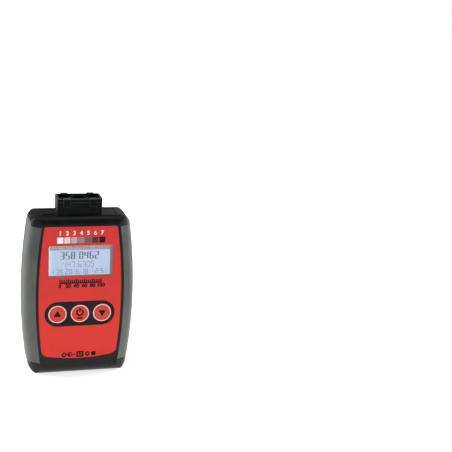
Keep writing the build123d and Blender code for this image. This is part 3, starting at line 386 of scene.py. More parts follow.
dark_display_dots = moulded("dark_display_dots", DARK_DOT, DARK_DOT_THIN, roughness=0.3, grain=0.4 * MM,
                            depth=0.002 * MM, patch=6 * MM)
grey_display_dots = moulded("grey_display_dots", GREY_DOT, GREY_DOT_THIN, roughness=0.3, grain=0.4 * MM,
                            depth=0.002 * MM, patch=6 * MM)
strip = {(column, row) for column in range(DOT_COLUMNS) for row in range(STRIP_ROWS)}
strip -= number_dots(*STRIP_FIGURES)
readout = set().union(*(number_dots(*figures) for figures in READOUT_FIGURES))
new_piece("display_strip", dots_maker(strip), grey_display_dots, "case")
new_piece("display_numbers", dots_maker(readout), dark_display_dots, "case")

# Display gasket and aperture gasket: closed-cell foam, die cut from a sheet, so its face is matt
# and pitted with small cells. The aperture's is black, so that it throws back no light.
FOAM_CELL = 0.5 * MM  # coarser than the real 0.3 mm


def die_cut_foam(name, in_cell, between, **sockets):
    """A foam with one colour down in its cells and one on the walls between them."""
    material, tree, shader = new_material(name, Roughness=0.9, **sockets)
    place = add_node(tree, "TexCoord").outputs["Object"]
    cells = add_node(tree, "TexVoronoi", {"Vector": place}, {"Scale": 1 / FOAM_CELL})
    tone = add_node(tree, "ValToRGB", {"Fac": cells.outputs["Distance"]},
                    stops=[(0.1, in_cell), (0.7, between)])
    bump = add_node(tree, "Bump", {"Height": cells.outputs["Distance"]},
                    {"Strength": 0.8, "Distance": 0.05 * MM})
    tree.links.new(tone.outputs["Color"], shader.inputs["Base Color"])
    tree.links.new(bump.outputs[0], shader.inputs["Normal"])
    return material


display_foam = die_cut_foam("die_cut_foam", "#4c5157", "#6d737b")
finish_node("display_gasket", display_foam)
black_foam = die_cut_foam("black_ring_foam", "#050505", "#111111", Specular_IOR_Level=0.1)
finish_node("aperture_gasket", black_foam)

# Display window: clear acrylic with a hard coat, polished, with hair-fine wipe marks. A grey border
# on its back stands in for the shaded edge of the window's opening as a painted shade, and it glows with
# painted light.
WIPE_MARK, WIPE_STRETCH = 0.8 * MM, 0.2  # wider than the real 0.05 mm, and five times as long

clear_acrylic, tree, shader = new_material("hard_coated_acrylic", Transmission_Weight=1.0, IOR=1.49)
place = add_node(tree, "TexCoord").outputs["Object"]
stretch = add_node(tree, "Mapping", {"Vector": place}, {"Scale": (WIPE_STRETCH, 1.0, 1.0)})
wipes = add_node(tree, "TexNoise", {"Vector": stretch.outputs[0]}, {"Scale": 1 / WIPE_MARK, "Detail": 2.0})
sheen = add_node(tree, "MapRange", {"Value": wipes.outputs["Fac"]}, {"To Min": 0.01, "To Max": 0.05})
tree.links.new(sheen.outputs[0], shader.inputs["Roughness"])
finish_node("display_window", clear_acrylic)
# Painted light: the grey border glows, though it is no lamp.
BORDER_PAINTED_LIGHT, BORDER_PAINTED_GLOW = "#9a9ba2", 0.5
painted_shade_border = moulded("painted_shade_window_border", "#70767c", "#7c8288", roughness=0.5, grain=0.3 * MM,
                     depth=0.004 * MM, IOR=1.5, Emission_Color=linear(BORDER_PAINTED_LIGHT),
                     Emission_Strength=BORDER_PAINTED_GLOW)
BORDER_INNER = (-22.3, 21.0, -10.85, 10.85)  # left, right, bottom and top edges, in mm
BORDER_OUTER = (-23.6, 23.6, -12.3, 12.3)
WINDOW_BACK_Y, BORDER_THICKNESS = -14.0, 0.03


def border_maker(maker):
    """A closed flat ring round the display, on the back of the window."""
    loops = []
    for y in (WINDOW_BACK_Y, WINDOW_BACK_Y + BORDER_THICKNESS):
        for left, right, bottom, top in (BORDER_INNER, BORDER_OUTER):
            loops.append([maker.verts.new((x * MM, y * MM, DISPLAY_CENTRE_Z + z * MM))
                          for x, z in ((right, top), (left, top), (left, bottom), (right, bottom))])
    front_inner, front_outer, back_inner, back_outer = loops
    for i in range(4):
        j = (i + 1) % 4
        maker.faces.new((front_inner[i], front_inner[j], front_outer[j], front_outer[i]))
        maker.faces.new((back_inner[i], back_outer[i], back_outer[j], back_inner[j]))
        maker.faces.new((front_outer[i], front_outer[j], back_outer[j], back_outer[i]))
        maker.faces.new((front_inner[i], back_inner[i], back_inner[j], front_inner[j]))


new_piece("window_border", border_maker, painted_shade_border, "case")

# Face label: polycarbonate film, printed red on its back and finely textured on its front, so
# the colour looks deep under a silky sheen. The red is painted darker towards the top as a painted shade,
# with clouds in the ink.
LABEL_RED_LOW = "#d83c34"
LABEL_RED_SHADED = "#c83533"
PAINTED_SHADE_LOW, PAINTED_SHADE_HIGH = 20 * MM, 110 * MM  # heights between which the red is painted darker, a painted shade
FILM_TEXTURE = 0.45 * MM  # coarser than the real 0.05 mm
INK_CLOUD, LABEL_EDGE = 22 * MM, 0.15 * MM

red_film, tree, shader = new_material("textured_red_film", IOR=1.58, Specular_IOR_Level=0.15)
place = add_node(tree, "TexCoord").outputs["Object"]
texture = add_node(tree, "TexNoise", {"Vector": place}, {"Scale": 1 / FILM_TEXTURE, "Detail": 2.0})
cloud = add_node(tree, "TexNoise", {"Vector": place}, {"Scale": 1 / INK_CLOUD, "Detail": 2.0})
height = add_node(tree, "SeparateXYZ", {"Vector": place})
painted_shade_by_height = add_node(tree, "MapRange", {"Value": height.outputs["Z"]},
                 {"From Min": PAINTED_SHADE_LOW, "From Max": PAINTED_SHADE_HIGH, "To Min": -0.35, "To Max": 0.5})
# Painted shade by height, added to the ink's clouds.
depth = add_node(tree, "Math", {0: painted_shade_by_height.outputs[0], 1: cloud.outputs["Fac"]}, operation="ADD")
tone = add_node(tree, "ValToRGB", {"Fac": depth.outputs[0]},
                stops=[(0.15, LABEL_RED_LOW), (0.95, LABEL_RED_SHADED)])
sheen = add_node(tree, "MapRange", {"Value": cloud.outputs["Fac"]},
                 {"From Min": 0.3, "From Max": 0.7, "To Min": 0.5, "To Max": 0.42})
rounded = add_node(tree, "Bevel", values={"Radius": LABEL_EDGE}, samples=6)
bump = add_node(tree, "Bump", {"Height": texture.outputs["Fac"], "Normal": rounded.outputs[0]},
                {"Strength": 0.4, "Distance": 0.008 * MM})
tree.links.new(tone.outputs["Color"], shader.inputs["Base Color"])
tree.links.new(sheen.outputs[0], shader.inputs["Roughness"])
tree.links.new(bump.outputs[0], shader.inputs["Normal"])
finish_node("face_label", red_film)

# Printing on the label: thin screen inks. A seven-step grey scale above the display, a plain 0
# to 100 scale below it, and a row of bold plain signs at the foot.
LABEL_Y = -16.2 * MM
INK_THICKNESS = 0.025 * MM
MESH_MARK = 0.35 * MM  # coarser than the real 0.1 mm
WHITE_INK, WHITE_THIN = "#efecea", "#dedad6"
BLACK_INK, BLACK_THIN = "#0d0c0c", "#1a1818"


def screen_ink(name, colour, thin_colour):
    """A screen-printed ink: nearly flat, with the fine unevenness that the mesh leaves."""
    material, tree, shader = new_material(name, Roughness=0.5, IOR=1.5, Specular_IOR_Level=0.15)
    place = add_node(tree, "TexCoord").outputs["Object"]
    mesh_mark = add_node(tree, "TexNoise", {"Vector": place}, {"Scale": 1 / MESH_MARK, "Detail": 2.0})
    tone = add_node(tree, "ValToRGB", {"Fac": mesh_mark.outputs["Fac"]},
                    stops=[(0.3, thin_colour), (0.55, colour)])
    bump = add_node(tree, "Bump", {"Height": mesh_mark.outputs["Fac"]},
                    {"Strength": 0.3, "Distance": 0.006 * MM})
    tree.links.new(tone.outputs["Color"], shader.inputs["Base Color"])
    tree.links.new(bump.outputs[0], shader.inputs["Normal"])
    return material


def plate_maker(outlines, front_y, thickness=INK_THICKNESS):
    """Closed flat plates with the given outlines (x, z in mm), facing the front at front_y."""
    def make(maker):
        for outline in outlines:
            front = [maker.verts.new((x * MM, front_y - thickness, z * MM)) for x, z in outline]
            back = [maker.verts.new((x * MM, front_y, z * MM)) for x, z in outline]
            maker.faces.new(front)
            maker.faces.new(reversed(back))
            for i in range(len(outline)):
                j = (i + 1) % len(outline)
                maker.faces.new((front[i], back[i], back[j], front[j]))
    return make


def rounded_rectangle(x, z, width, height, radius, steps=4):
    """The outline of a rectangle centred on x, z, with rounded corners."""
    points = []
    for corner, (sx, sz) in enumerate(((1, 1), (-1, 1), (-1, -1), (1, -1))):
        for step in range(steps + 1):
            turn = math.radians(90 * corner + 90 * step / steps)
            points.append((x + sx * (width / 2 - radius) + radius * math.cos(turn),
                           z + sz * (height / 2 - radius) + radius * math.sin(turn)))
    return points


white_ink = screen_ink("white_screen_ink", WHITE_INK, WHITE_THIN)
black_ink = screen_ink("black_screen_ink", BLACK_INK, BLACK_THIN)
SCALE_HALF, SCALE_FOOT_Z, SCALE_BAR, TICKS = 14.5, 69.1, 0.8, 20
TICK_WIDTH, TICK_TALL, TICK_SHORT = 0.9, 2.9, 2.3
ticks = []
for i in range(TICKS + 1):
    x = -SCALE_HALF + 2 * SCALE_HALF * i / TICKS
    tall = TICK_TALL if i % 4 == 0 else TICK_SHORT
    ticks.append(rounded_rectangle(x, SCALE_FOOT_Z + tall / 2, TICK_WIDTH, tall, 0.1, 2))
ticks.append(rounded_rectangle(0, SCALE_FOOT_Z, 2 * SCALE_HALF + TICK_WIDTH, SCALE_BAR, 0.1, 2))
new_piece("scale_ticks", plate_maker(ticks, LABEL_Y), black_ink, "case")
FIGURE_SHARE = 0.7  # of the typeface's size that a figure stands high


def number_piece(name, text, x, z, height, material, weight):
    """A printed number centred on x, z, in the plain built-in typeface, its strokes thickened by weight."""
    curve = bpy.data.curves.new(name, "FONT")
    curve.body = text
    curve.size = height * MM / FIGURE_SHARE
    curve.align_x = "CENTER"
    curve.align_y = "CENTER"
    curve.offset = weight * MM
    curve.extrude = INK_THICKNESS / 2
    curve.resolution_u = 4
    text_object = bpy.data.objects.new(name + "_outline", curve)
    scene.collection.objects.link(text_object)
    bpy.context.view_layer.update()
    mesh = bpy.data.meshes.new_from_object(text_object.evaluated_get(bpy.context.evaluated_depsgraph_get()))
    bpy.data.objects.remove(text_object)
    mesh.transform(Matrix.Translation((x * MM, LABEL_Y - INK_THICKNESS / 2, z * MM))
                   @ Matrix.Rotation(math.radians(90), 4, "X"))
    mesh.materials.clear()
    mesh.materials.append(material)
    piece = bpy.data.objects.new(name, mesh)
    scene.collection.objects.link(piece)
    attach(piece, "case")


SCALE_FIGURE, SCALE_FIGURE_Z, SCALE_FIGURE_WEIGHT = 2.7, 66.9, 0.2
for i in range(6):
    number_piece("scale_number_%d" % (20 * i), str(20 * i), -SCALE_HALF + 2 * SCALE_HALF * i / 5,
                 SCALE_FIGURE_Z, SCALE_FIGURE, black_ink, SCALE_FIGURE_WEIGHT)

GREY_STEPS = ["#f1efec", "#cfcdcb", "#aaa8a7", "#858382", "#5f5d5d", "#3a3939", "#191818"]
STEP_PITCH, STEP_WIDTH, STEP_HEIGHT, STEP_Z = 4.9, 4.2, 4.4, 100.6
STEP_FIGURE, STEP_FIGURE_Z, STEP_FIGURE_WEIGHT = 3.0, 105.6, 0.1
for i, shade in enumerate(GREY_STEPS):
    ink = screen_ink("grey_step_ink_%d" % (i + 1), shade, shade)
    x = (i - 3) * STEP_PITCH
    outline = rounded_rectangle(x, STEP_Z, STEP_WIDTH, STEP_HEIGHT, 0.4)
    new_piece("grey_step_%d" % (i + 1), plate_maker([outline], LABEL_Y), ink, "case")
    number_piece("step_number_%d" % (i + 1), str(i + 1), x, STEP_FIGURE_Z, STEP_FIGURE, white_ink,
                 STEP_FIGURE_WEIGHT)

SIGN_Z, SIGN_HALF, SIGN_HOLE, SIGN_THIN_HOLE, PINHOLE = 14.9, 1.75, 0.75, 1.05, 0.02
SIGN_STEPS, FILL_LAP = 32, 0.05
BAR_WIDTH, BAR_CENTRES, FRAME_WIDTH, FRAME_BAR = 1.3, (-1.4, 0.6, 2.6), 5.3, 0.8


def ring_outlines(x, z, outer, inner, start, end, steps):
    """The short outlines that make a ring, or a part of one between two angles in degrees."""
    def point(step, radius):
        turn = math.radians(start + (end - start) * step / steps)
        return (x + radius * math.cos(turn), z + radius * math.sin(turn))
    return [[point(i, outer), point(i + 1, outer), point(i + 1, inner), point(i, inner)]
            for i in range(steps)]


# From the left: a ring, a ring half filled, a dash, three framed bars, a ring and a disc. What is
# filled keeps a pinhole, because its short outlines can't meet in one point.
signs = ring_outlines(-10.7, SIGN_Z, SIGN_HALF, SIGN_HOLE, 0, 360, SIGN_STEPS)
signs += ring_outlines(-6.7, SIGN_Z, SIGN_HALF, SIGN_THIN_HOLE, 0, 360, SIGN_STEPS)
signs += ring_outlines(-6.7, SIGN_Z, SIGN_THIN_HOLE + FILL_LAP, PINHOLE, 90, 270, SIGN_STEPS // 2)
signs.append(rounded_rectangle(-3.8, SIGN_Z, 1.6, 0.9, 0.2, 2))
for x in BAR_CENTRES:
    signs.append(rounded_rectangle(x, SIGN_Z, BAR_WIDTH, 2 * SIGN_HALF, 0.2, 2))
for side in (1, -1):
    signs.append(rounded_rectangle(BAR_CENTRES[1], SIGN_Z + side * SIGN_HALF, FRAME_WIDTH, FRAME_BAR, 0.2, 2))
signs += ring_outlines(6.0, SIGN_Z, SIGN_HALF, SIGN_HOLE, 0, 360, SIGN_STEPS)
signs += ring_outlines(10.4, SIGN_Z, SIGN_HALF, PINHOLE, 0, 360, SIGN_STEPS)
new_piece("foot_signs", plate_maker(signs, LABEL_Y), black_ink, "case")

# Key surround: a strip of black ABS with round ends, moulded with a satin skin and set into the
# label. Its edges are softly rounded.
surround_plastic = moulded("satin_surround_plastic", "#1b1a18", "#2e2c28", roughness=0.4, grain=0.5 * MM,
                           depth=0.01 * MM, IOR=1.5, Specular_IOR_Level=0.15)
finish_node("key_surround", surround_plastic)

# Keys: red silicone-faced caps with a raised white rim, slightly dished for the fingertip, and
# black symbols. They are turned profiles with their symbols laid on the dish.
KEY_RADIUS, KEY_FLANGE = 6.7, 7.6
KEY_HEIGHT, KEY_SPACING = 46.0, 15.9
FLANGE_FRONT, KEY_BACK = -13.95, -12.95
KEY_TURNS = 96
# Radius and depth in mm, from the middle of the dish, over the groove and the rim's seat, to the back.
KEY_PROFILE = [(0.0, -16.40), (2.0, -16.405), (4.0, -16.425), (5.3, -16.45), (5.4, -16.4), (5.45, -16.2),
               (5.65, -16.2), (5.72, -16.38), (6.55, -16.38), (6.64, -16.3), (KEY_RADIUS, -16.1),
               (KEY_RADIUS, FLANGE_FRONT), (KEY_FLANGE, FLANGE_FRONT), (KEY_FLANGE, KEY_BACK),
               (0.0, KEY_BACK)]
RIM_PROFILE = [(5.74, -16.38), (5.77, -16.46), (5.87, -16.495), (6.2, -16.5), (6.36, -16.47),
               (6.5, -16.38)]


def turned_maker(profile, x, z, closed):
    """A body of revolution about a front-to-back axis through x, z, from radius and depth pairs."""
    def make(maker):
        rings = []
        for radius, y in profile:
            if radius == 0:
                rings.append([maker.verts.new((x * MM, y * MM, z * MM))])
                continue
            turns = [2 * math.pi * i / KEY_TURNS for i in range(KEY_TURNS)]
            rings.append([maker.verts.new(((x + radius * math.cos(turn)) * MM, y * MM,
                                           (z + radius * math.sin(turn)) * MM)) for turn in turns])
        pairs = list(zip(rings, rings[1:])) + ([(rings[-1], rings[0])] if closed else [])
        for near, far in pairs:
            for i in range(KEY_TURNS):
                j = (i + 1) % KEY_TURNS
                if len(near) == 1:
                    maker.faces.new((near[0], far[i], far[j]))
                elif len(far) == 1:
                    maker.faces.new((near[i], far[0], near[j]))
                else:
                    maker.faces.new((near[i], far[i], far[j], near[j]))
    return make


red_silicone = moulded("red_silicone_cap", "#c9433b", "#d24e45", roughness=0.5, grain=0.5 * MM,
                       depth=0.01 * MM, IOR=1.43, Specular_IOR_Level=0.15)
white_rim_print = moulded("white_key_rim", "#f2ddd6", "#f7e6df", roughness=0.42, grain=0.5 * MM,
                          depth=0.008 * MM, IOR=1.5)
SYMBOL_Y, SYMBOL_THICKNESS = -16.39 * MM, 0.04 * MM
ARROW_HALF, ARROW_FOOT, ARROW_TIP = 2.7, 1.8, 2.9
POWER_OUTER, POWER_INNER, POWER_START, POWER_END = 2.8, 1.6, 120, 420
POWER_RISE, UPRIGHT_RISE, FOOT_DROP = 0.9, 2.9, 3.3


def triangle(x, z, up):
    """The outline of an arrow head that points up (1) or down (-1)."""
    foot, tip = z - ARROW_FOOT * up, z + ARROW_TIP * up
    return [(x - ARROW_HALF, foot), (x + ARROW_HALF, foot), (x, tip)][::up]


def power_symbol(x, z):
    """The outlines of a ring that is open at its top, with an upright bar, and a short bar below."""
    pieces = ring_outlines(x, z + POWER_RISE, POWER_OUTER, POWER_INNER, POWER_START, POWER_END, 28)
    pieces.append(rounded_rectangle(x, z + UPRIGHT_RISE, width=1.1, height=3.0, radius=0.3, steps=2))
    pieces.append(rounded_rectangle(x, z - FOOT_DROP, width=3.8, height=1.3, radius=0.5, steps=3))
    return pieces


SYMBOLS = {"up": (-KEY_SPACING, [triangle(-KEY_SPACING, KEY_HEIGHT, 1)]),
           "power": (0.0, power_symbol(0.0, KEY_HEIGHT)),
           "down": (KEY_SPACING, [triangle(KEY_SPACING, KEY_HEIGHT, -1)])}
for key, (x, outlines) in SYMBOLS.items():
    body = key + "_key"
    cap_shape = turned_maker(KEY_PROFILE, x, KEY_HEIGHT, False)
    cap = new_piece("cap_" + key, cap_shape, red_silicone, body, smooth=True)
    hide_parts("key_" + key)
    rim_shape = turned_maker(RIM_PROFILE, x, KEY_HEIGHT, True)
    new_piece("rim_" + key, rim_shape, white_rim_print, body, smooth=True)
    new_piece("symbol_" + key, plate_maker(outlines, SYMBOL_Y, SYMBOL_THICKNESS), black_ink, body)

# Side grips: soft-touch elastomer moulded over the joint of the shells. It is matt and slightly
# powdery, with paler patches where palms have rubbed it; its edges are painted paler as a painted
# highlight, and it is painted paler towards the bottom as painted light.
GRIP_GREY = "#3e423f"
GRIP_GREY_RUBBED_AND_LIT = "#646863"

soft_touch = moulded("soft_touch_elastomer", GRIP_GREY, GRIP_GREY_RUBBED_AND_LIT, roughness=0.62,
                     grain=0.55 * MM, depth=0.018 * MM, edge=0.4 * MM, patch=20 * MM, rub=0.3,
                     painted_light_heights=(PAINTED_LIGHT_START, PAINTED_LIGHT_FULL), IOR=1.5, Specular_IOR_Level=0.35, Sheen_Weight=0.15)
for grip in ("left_grip", "right_grip"):
    finish_node(grip, soft_touch)

# End panels: closures of black ABS, moulded in a smoother tool than the shells and held between
# them. The top one has a strap slot, whose inside is painted dead black as painted shade.
panel_abs = moulded("smooth_black_abs", "#0f1010", "#3a3c3b", roughness=0.34, grain=0.8 * MM,
                    depth=0.01 * MM, rub=0.12, IOR=1.53, Specular_IOR_Level=0.22)
STRAP_SLOT = ((-25.9, -8.1, 113.0), (-17.7, -5.1, 116.5))
UNLIT_BLACK = "#020202"


def paint_shade_inside(material, low, high):
    """Paints a surface dead black inside the box between two corners in mm, as a painted shade."""
    tree = material.node_tree
    centre, half = (Vector(low) + Vector(high)) / 2, (Vector(high) - Vector(low)) / 2
    place = add_node(tree, "TexCoord").outputs["Object"]
    scaled = add_node(tree, "Mapping", {"Vector": place},
                      {"Location": [-c / h for c, h in zip(centre, half)],
                       "Scale": [1 / (h * MM) for h in half]})
    reach = add_node(tree, "VectorMath", {0: scaled.outputs[0]}, operation="ABSOLUTE")
    parts = add_node(tree, "SeparateXYZ", {"Vector": reach.outputs[0]})
    across = add_node(tree, "Math", {0: parts.outputs["X"], 1: parts.outputs["Y"]}, operation="MAXIMUM")
    furthest = add_node(tree, "Math", {0: across.outputs[0], 1: parts.outputs["Z"]}, operation="MAXIMUM")
    inside = add_node(tree, "Math", {0: furthest.outputs[0]}, {1: 1.0}, operation="LESS_THAN")
    base = tree.nodes["Principled BSDF"].inputs["Base Color"]
    mixed = add_node(tree, "MixRGB", {"Fac": inside.outputs[0], "Color1": base.links[0].from_socket},
                     {"Color2": linear(UNLIT_BLACK)})
    tree.links.new(mixed.outputs[0], base)


# Painted shade: the inside of the strap slot is painted dead black.
paint_shade_inside(panel_abs, *STRAP_SLOT)
for panel in ("top_end_panel", "bottom_end_panel"):
    finish_node(panel, panel_abs)

# Strap slot shade: a thin flat ring of dead-matt black round the slot, a dark sheet that widens
# the slot's shade on the top panel as painted shade. It stays the darkest thing on top.
SHADE_RING_LOW, SHADE_RING_HIGH = 116.7, 116.9
SLOT_ENDS, SLOT_RADIUS = ((-24.4, -6.6), (-19.2, -6.6)), 1.3
SHADE_RING_ENDS, SHADE_RING_RADIUS = ((-26.8, -6.6), (-19.2, -6.6)), 1.75
SHADE_RING_STEPS = 16


def stadium(ends, radius, z):
    """The points of a level slot shape round two centres, in metres, anticlockwise from its foot."""
    points = []
    for (x, y), start in ((ends[1], -90), (ends[0], 90)):
        for step in range(SHADE_RING_STEPS + 1):
            turn = math.radians(start + 180 * step / SHADE_RING_STEPS)
            points.append(((x + radius * math.cos(turn)) * MM, (y + radius * math.sin(turn)) * MM, z * MM))
    return points


def shade_ring_maker(maker):
    """A flat closed ring between the slot and the ring's outer edge."""
    outer, inner = (SHADE_RING_ENDS, SHADE_RING_RADIUS), (SLOT_ENDS, SLOT_RADIUS)
    levels = ((outer, SHADE_RING_LOW), (outer, SHADE_RING_HIGH), (inner, SHADE_RING_HIGH), (inner, SHADE_RING_LOW))
    loops = [[maker.verts.new(point) for point in stadium(*edge, z)] for edge, z in levels]
    count = len(loops[0])
    for near, far in zip(loops, loops[1:] + loops[:1]):
        for i in range(count):
            j = (i + 1) % count
            maker.faces.new((near[i], near[j], far[j], far[i]))


slot_shade_ring_black = moulded("strap_slot_shade_ring_black", "#030303", "#0b0b0b", roughness=0.8, grain=0.4 * MM,
                       depth=0.01 * MM, rub=0.2, IOR=1.5, Specular_IOR_Level=0.1)
new_piece("strap_slot_shade_ring", shade_ring_maker, slot_shade_ring_black, "case")

# Measuring head: glass-filled black nylon with a dull skin, and a clip-on aperture cap of the
# same nylon. The top of the cap's rim is painted paler as a painted highlight, and the cap's tray
# is painted dead black as painted shade.
# Painted highlight: the cap's rim is painted paler between these heights.
RIM_HIGHLIGHT_START, RIM_HIGHLIGHT_FULL = 127.7 * MM, 128.05 * MM
CAP_TRAY = ((-14.6, -6.9, 126.0), (14.6, 7.5, 127.95))

head_nylon = moulded("glass_filled_black_nylon", "#101311", "#585b59", roughness=0.36, grain=0.45 * MM,
                     depth=0.012 * MM, edge=0.4 * MM, patch=7 * MM, rub=0.03,
                     painted_light_heights=(RIM_HIGHLIGHT_START, RIM_HIGHLIGHT_FULL), IOR=1.53, Specular_IOR_Level=0.04,
                     Sheen_Weight=0.1, Sheen_Roughness=0.2)
paint_shade_inside(head_nylon, *CAP_TRAY)
for part in ("head_housing", "aperture_cap"):
    finish_node(part, head_nylon)

# Optics: a moulded block, dead-matt black, that swallows stray light. It holds a polished glass
# window and lens and two lamps cast in clear epoxy.
dead_matt_black = moulded("dead_matt_optics_black", "#0b0b0b", "#121212", roughness=0.85, grain=0.5 * MM,
                          depth=0.03 * MM, IOR=1.45, Specular_IOR_Level=0.2)
finish_node("optics_block", dead_matt_black)
GLASS_HAZE, EPOXY_SWIRL = 1.5 * MM, 1.0 * MM
optical_glass, tree, shader = new_material("polished_optical_glass", Transmission_Weight=1.0, IOR=1.52)
place = add_node(tree, "TexCoord").outputs["Object"]
haze = add_node(tree, "TexNoise", {"Vector": place}, {"Scale": 1 / GLASS_HAZE, "Detail": 3.0})
sheen = add_node(tree, "MapRange", {"Value": haze.outputs["Fac"]}, {"To Min": 0.0, "To Max": 0.04})
tree.links.new(sheen.outputs[0], shader.inputs["Roughness"])
for part in ("aperture_glass", "collecting_lens"):
    finish_node(part, optical_glass)
clear_epoxy, tree, shader = new_material("clear_lamp_epoxy", Transmission_Weight=0.9, IOR=1.54)
place = add_node(tree, "TexCoord").outputs["Object"]
swirl = add_node(tree, "TexNoise", {"Vector": place}, {"Scale": 1 / EPOXY_SWIRL, "Detail": 2.0})
sheen = add_node(tree, "MapRange", {"Value": swirl.outputs["Fac"]}, {"To Min": 0.02, "To Max": 0.12})
tree.links.new(sheen.outputs[0], shader.inputs["Roughness"])
finish_node("measuring_lamps", clear_epoxy)

# Battery door: moulded in the same grained black ABS as the shells, with grip grooves on its latch
# tongue. It hangs on two pins in the rear shell.
finish_node("battery_door", moulded_black_abs)

# Floor: a sheet of white paper. It keeps the soft shadow of the case close to the foot, is lit
# out to plain white away from it, and shines in the case's lower edges only close to the foot.
FLOOR_HALF = 3.0
PAPER_SHADE, PAPER_WHITE = "#e6e6e5", "#e9e9e8"
PAPER_FIBRE = 3 * MM  # coarser than the real 1 mm
FLOOR_GLOW, GLOW_START, GLOW_FULL = 0.6, 50 * MM, 250 * MM
FLOOR_SHINE_START, FLOOR_SHINE_REACH = 18 * MM, 33 * MM
FOOT_SHAPE = (0.4, 1.0, 1.0)  # the foot is wide and shallow, so its width counts for less


def seen_by_camera(tree):
    """The light path, and 1 for what the camera sees, straight or through the window."""
    rays = add_node(tree, "LightPath")
    seen = add_node(tree, "Math", {0: rays.outputs["Is Camera Ray"], 1: rays.outputs["Is Transmission Ray"]},
                    operation="MAXIMUM")
    return rays, seen


paper, tree, shader = new_material("white_paper")
tree.nodes.remove(shader)
rays, seen = seen_by_camera(tree)
place = add_node(tree, "TexCoord").outputs["Object"]
fibre = add_node(tree, "TexNoise", {"Vector": place}, {"Scale": 1 / PAPER_FIBRE, "Detail": 3.0})
tone = add_node(tree, "ValToRGB", {"Fac": fibre.outputs["Fac"]},
                stops=[(0.3, PAPER_SHADE), (0.7, PAPER_WHITE)])
lit = add_node(tree, "BsdfDiffuse", {"Color": tone.outputs["Color"]})
spread = add_node(tree, "VectorMath", {0: place}, operation="LENGTH")
sweep = add_node(tree, "MapRange", {"Value": spread.outputs["Value"]},
                 {"From Min": GLOW_START, "From Max": GLOW_FULL, "To Min": FLOOR_GLOW, "To Max": 1.0})
foot = add_node(tree, "Mapping", {"Vector": place}, {"Scale": FOOT_SHAPE})
from_foot = add_node(tree, "VectorMath", {0: foot.outputs[0]}, operation="LENGTH")
shine = add_node(tree, "MapRange", {"Value": from_foot.outputs["Value"]},
                 {"From Min": FLOOR_SHINE_START, "From Max": FLOOR_SHINE_REACH, "To Min": 1.0, "To Max": 0.0})
to_camera = add_node(tree, "Math", {0: seen.outputs[0], 1: sweep.outputs[0]}, operation="MULTIPLY")
to_gloss = add_node(tree, "Math", {0: rays.outputs["Is Glossy Ray"], 1: shine.outputs[0]},
                    operation="MULTIPLY")
strength = add_node(tree, "Math", {0: to_camera.outputs[0], 1: to_gloss.outputs[0]}, operation="MAXIMUM")
glow = add_node(tree, "Emission", {"Strength": strength.outputs[0]}, {"Color": (1.0, 1.0, 1.0, 1.0)})
bright = add_node(tree, "AddShader", {0: lit.outputs[0], 1: glow.outputs[0]})
tree.links.new(bright.outputs[0], tree.nodes["Material Output"].inputs["Surface"])
floor_mesh = bpy.data.meshes.new("floor")
corners = [(x * FLOOR_HALF, y * FLOOR_HALF, 0) for x, y in ((-1, -1), (1, -1), (1, 1), (-1, 1))]
floor_mesh.from_pydata(corners, [], [(0, 1, 2, 3)])
floor_mesh.materials.append(paper)
floor = bpy.data.objects.new("floor", floor_mesh)
scene.collection.objects.link(floor)

# Light: a dim even room that is plain white where the camera sees it, a soft lamp in front and a
# weak one above, a tall soft lamp behind each side that draws the rounded edges of the grips, and
# a small white card close behind the right shoulder, which lifts the top face there.
ROOM_LEVEL = 0.13
world = bpy.data.worlds.new("room")
scene.world = world
world.use_nodes = True
tree = world.node_tree
background = tree.nodes["Background"]
rays, seen = seen_by_camera(tree)
level = add_node(tree, "MapRange", {"Value": seen.outputs[0]}, {"To Min": ROOM_LEVEL, "To Max": 1.0})
tree.links.new(level.outputs[0], background.inputs["Strength"])
background.inputs["Color"].default_value = (1.0, 1.0, 1.0, 1.0)


def soft_lamp(name, place, target, width, height, watts, mirrored=True):
    """A rectangular soft lamp that faces its target, with or without its image in shiny surfaces."""
    lamp = bpy.data.lights.new(name, "AREA")
    lamp.shape = "RECTANGLE"
    lamp.size, lamp.size_y, lamp.energy = width, height, watts
    fitting = bpy.data.objects.new(name, lamp)
    fitting.location = place
    fitting.rotation_euler = (Vector(target) - Vector(place)).to_track_quat("-Z", "Y").to_euler()
    fitting.visible_glossy = mirrored
    fitting.visible_camera = False
    scene.collection.objects.link(fitting)


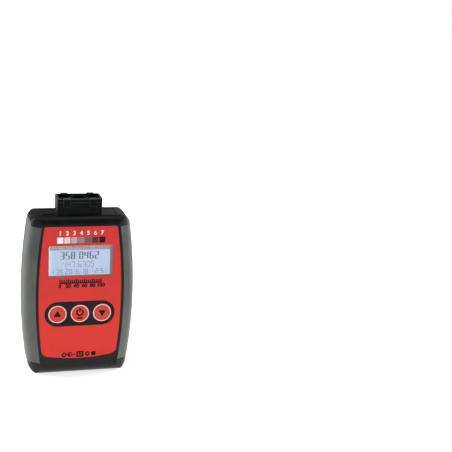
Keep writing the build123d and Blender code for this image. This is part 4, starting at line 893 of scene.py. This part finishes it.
soft_lamp("front_lamp", (0.1, -1.4, 0.5), (0.0, 0.0, 0.03), width=0.9, height=0.7, watts=14.1, mirrored=False)
soft_lamp("left_lamp", (-1.05, 0.5, 0.35), (0.0, 0.0, 0.06), width=0.6, height=0.9, watts=19.8)
soft_lamp("right_lamp", (1.1, 0.35, 0.35), (0.0, 0.0, 0.06), width=0.6, height=0.9, watts=18.5)
soft_lamp("top_lamp", (0.0, 0.1, 1.15), (0.0, 0.0, 0.1), width=1.0, height=0.5, watts=1.6)
soft_lamp("white_card", (0.085, 0.19, 0.155), (0.03, 0.0, 0.117), width=0.08, height=0.08, watts=0.005)

# Camera: a little to the left of the front and above it, tipped slightly to one side.
VIEW_AZIMUTH, VIEW_ELEVATION, VIEW_ROLL = (math.radians(a) for a in (-17.15, 15.37, 3.38))
VIEW_DISTANCE, AIM_HEIGHT = 0.7463, 0.0599  # in metres
FOCAL_PIXELS, IMAGE_PIXELS = 1030.2, 452
OFFSET_RIGHT, OFFSET_UP = 149.07, 61.62  # of the camera from the aim point's normal, in pixels

back = Vector((math.sin(VIEW_AZIMUTH) * math.cos(VIEW_ELEVATION),
               -math.cos(VIEW_AZIMUTH) * math.cos(VIEW_ELEVATION), math.sin(VIEW_ELEVATION)))
right = (-back).cross(Vector((0, 0, 1))).normalized()
up = right.cross(-back)
tipped_right = right * math.cos(VIEW_ROLL) + up * math.sin(VIEW_ROLL)
tipped_up = up * math.cos(VIEW_ROLL) - right * math.sin(VIEW_ROLL)
pixel_at_aim = VIEW_DISTANCE / FOCAL_PIXELS
lens = bpy.data.cameras.new("camera")
lens.sensor_width = 36.0
lens.lens = FOCAL_PIXELS / IMAGE_PIXELS * lens.sensor_width
lens.clip_start = 0.01
camera = bpy.data.objects.new("camera", lens)
scene.collection.objects.link(camera)
location = Vector((0, 0, AIM_HEIGHT)) + back * VIEW_DISTANCE
location += (tipped_right * OFFSET_RIGHT + tipped_up * OFFSET_UP) * pixel_at_aim
turned = Matrix((tipped_right, tipped_up, back)).transposed().to_4x4()
camera.matrix_world = Matrix.Translation(location) @ turned
scene.camera = camera

scene.view_settings.view_transform = "Standard"
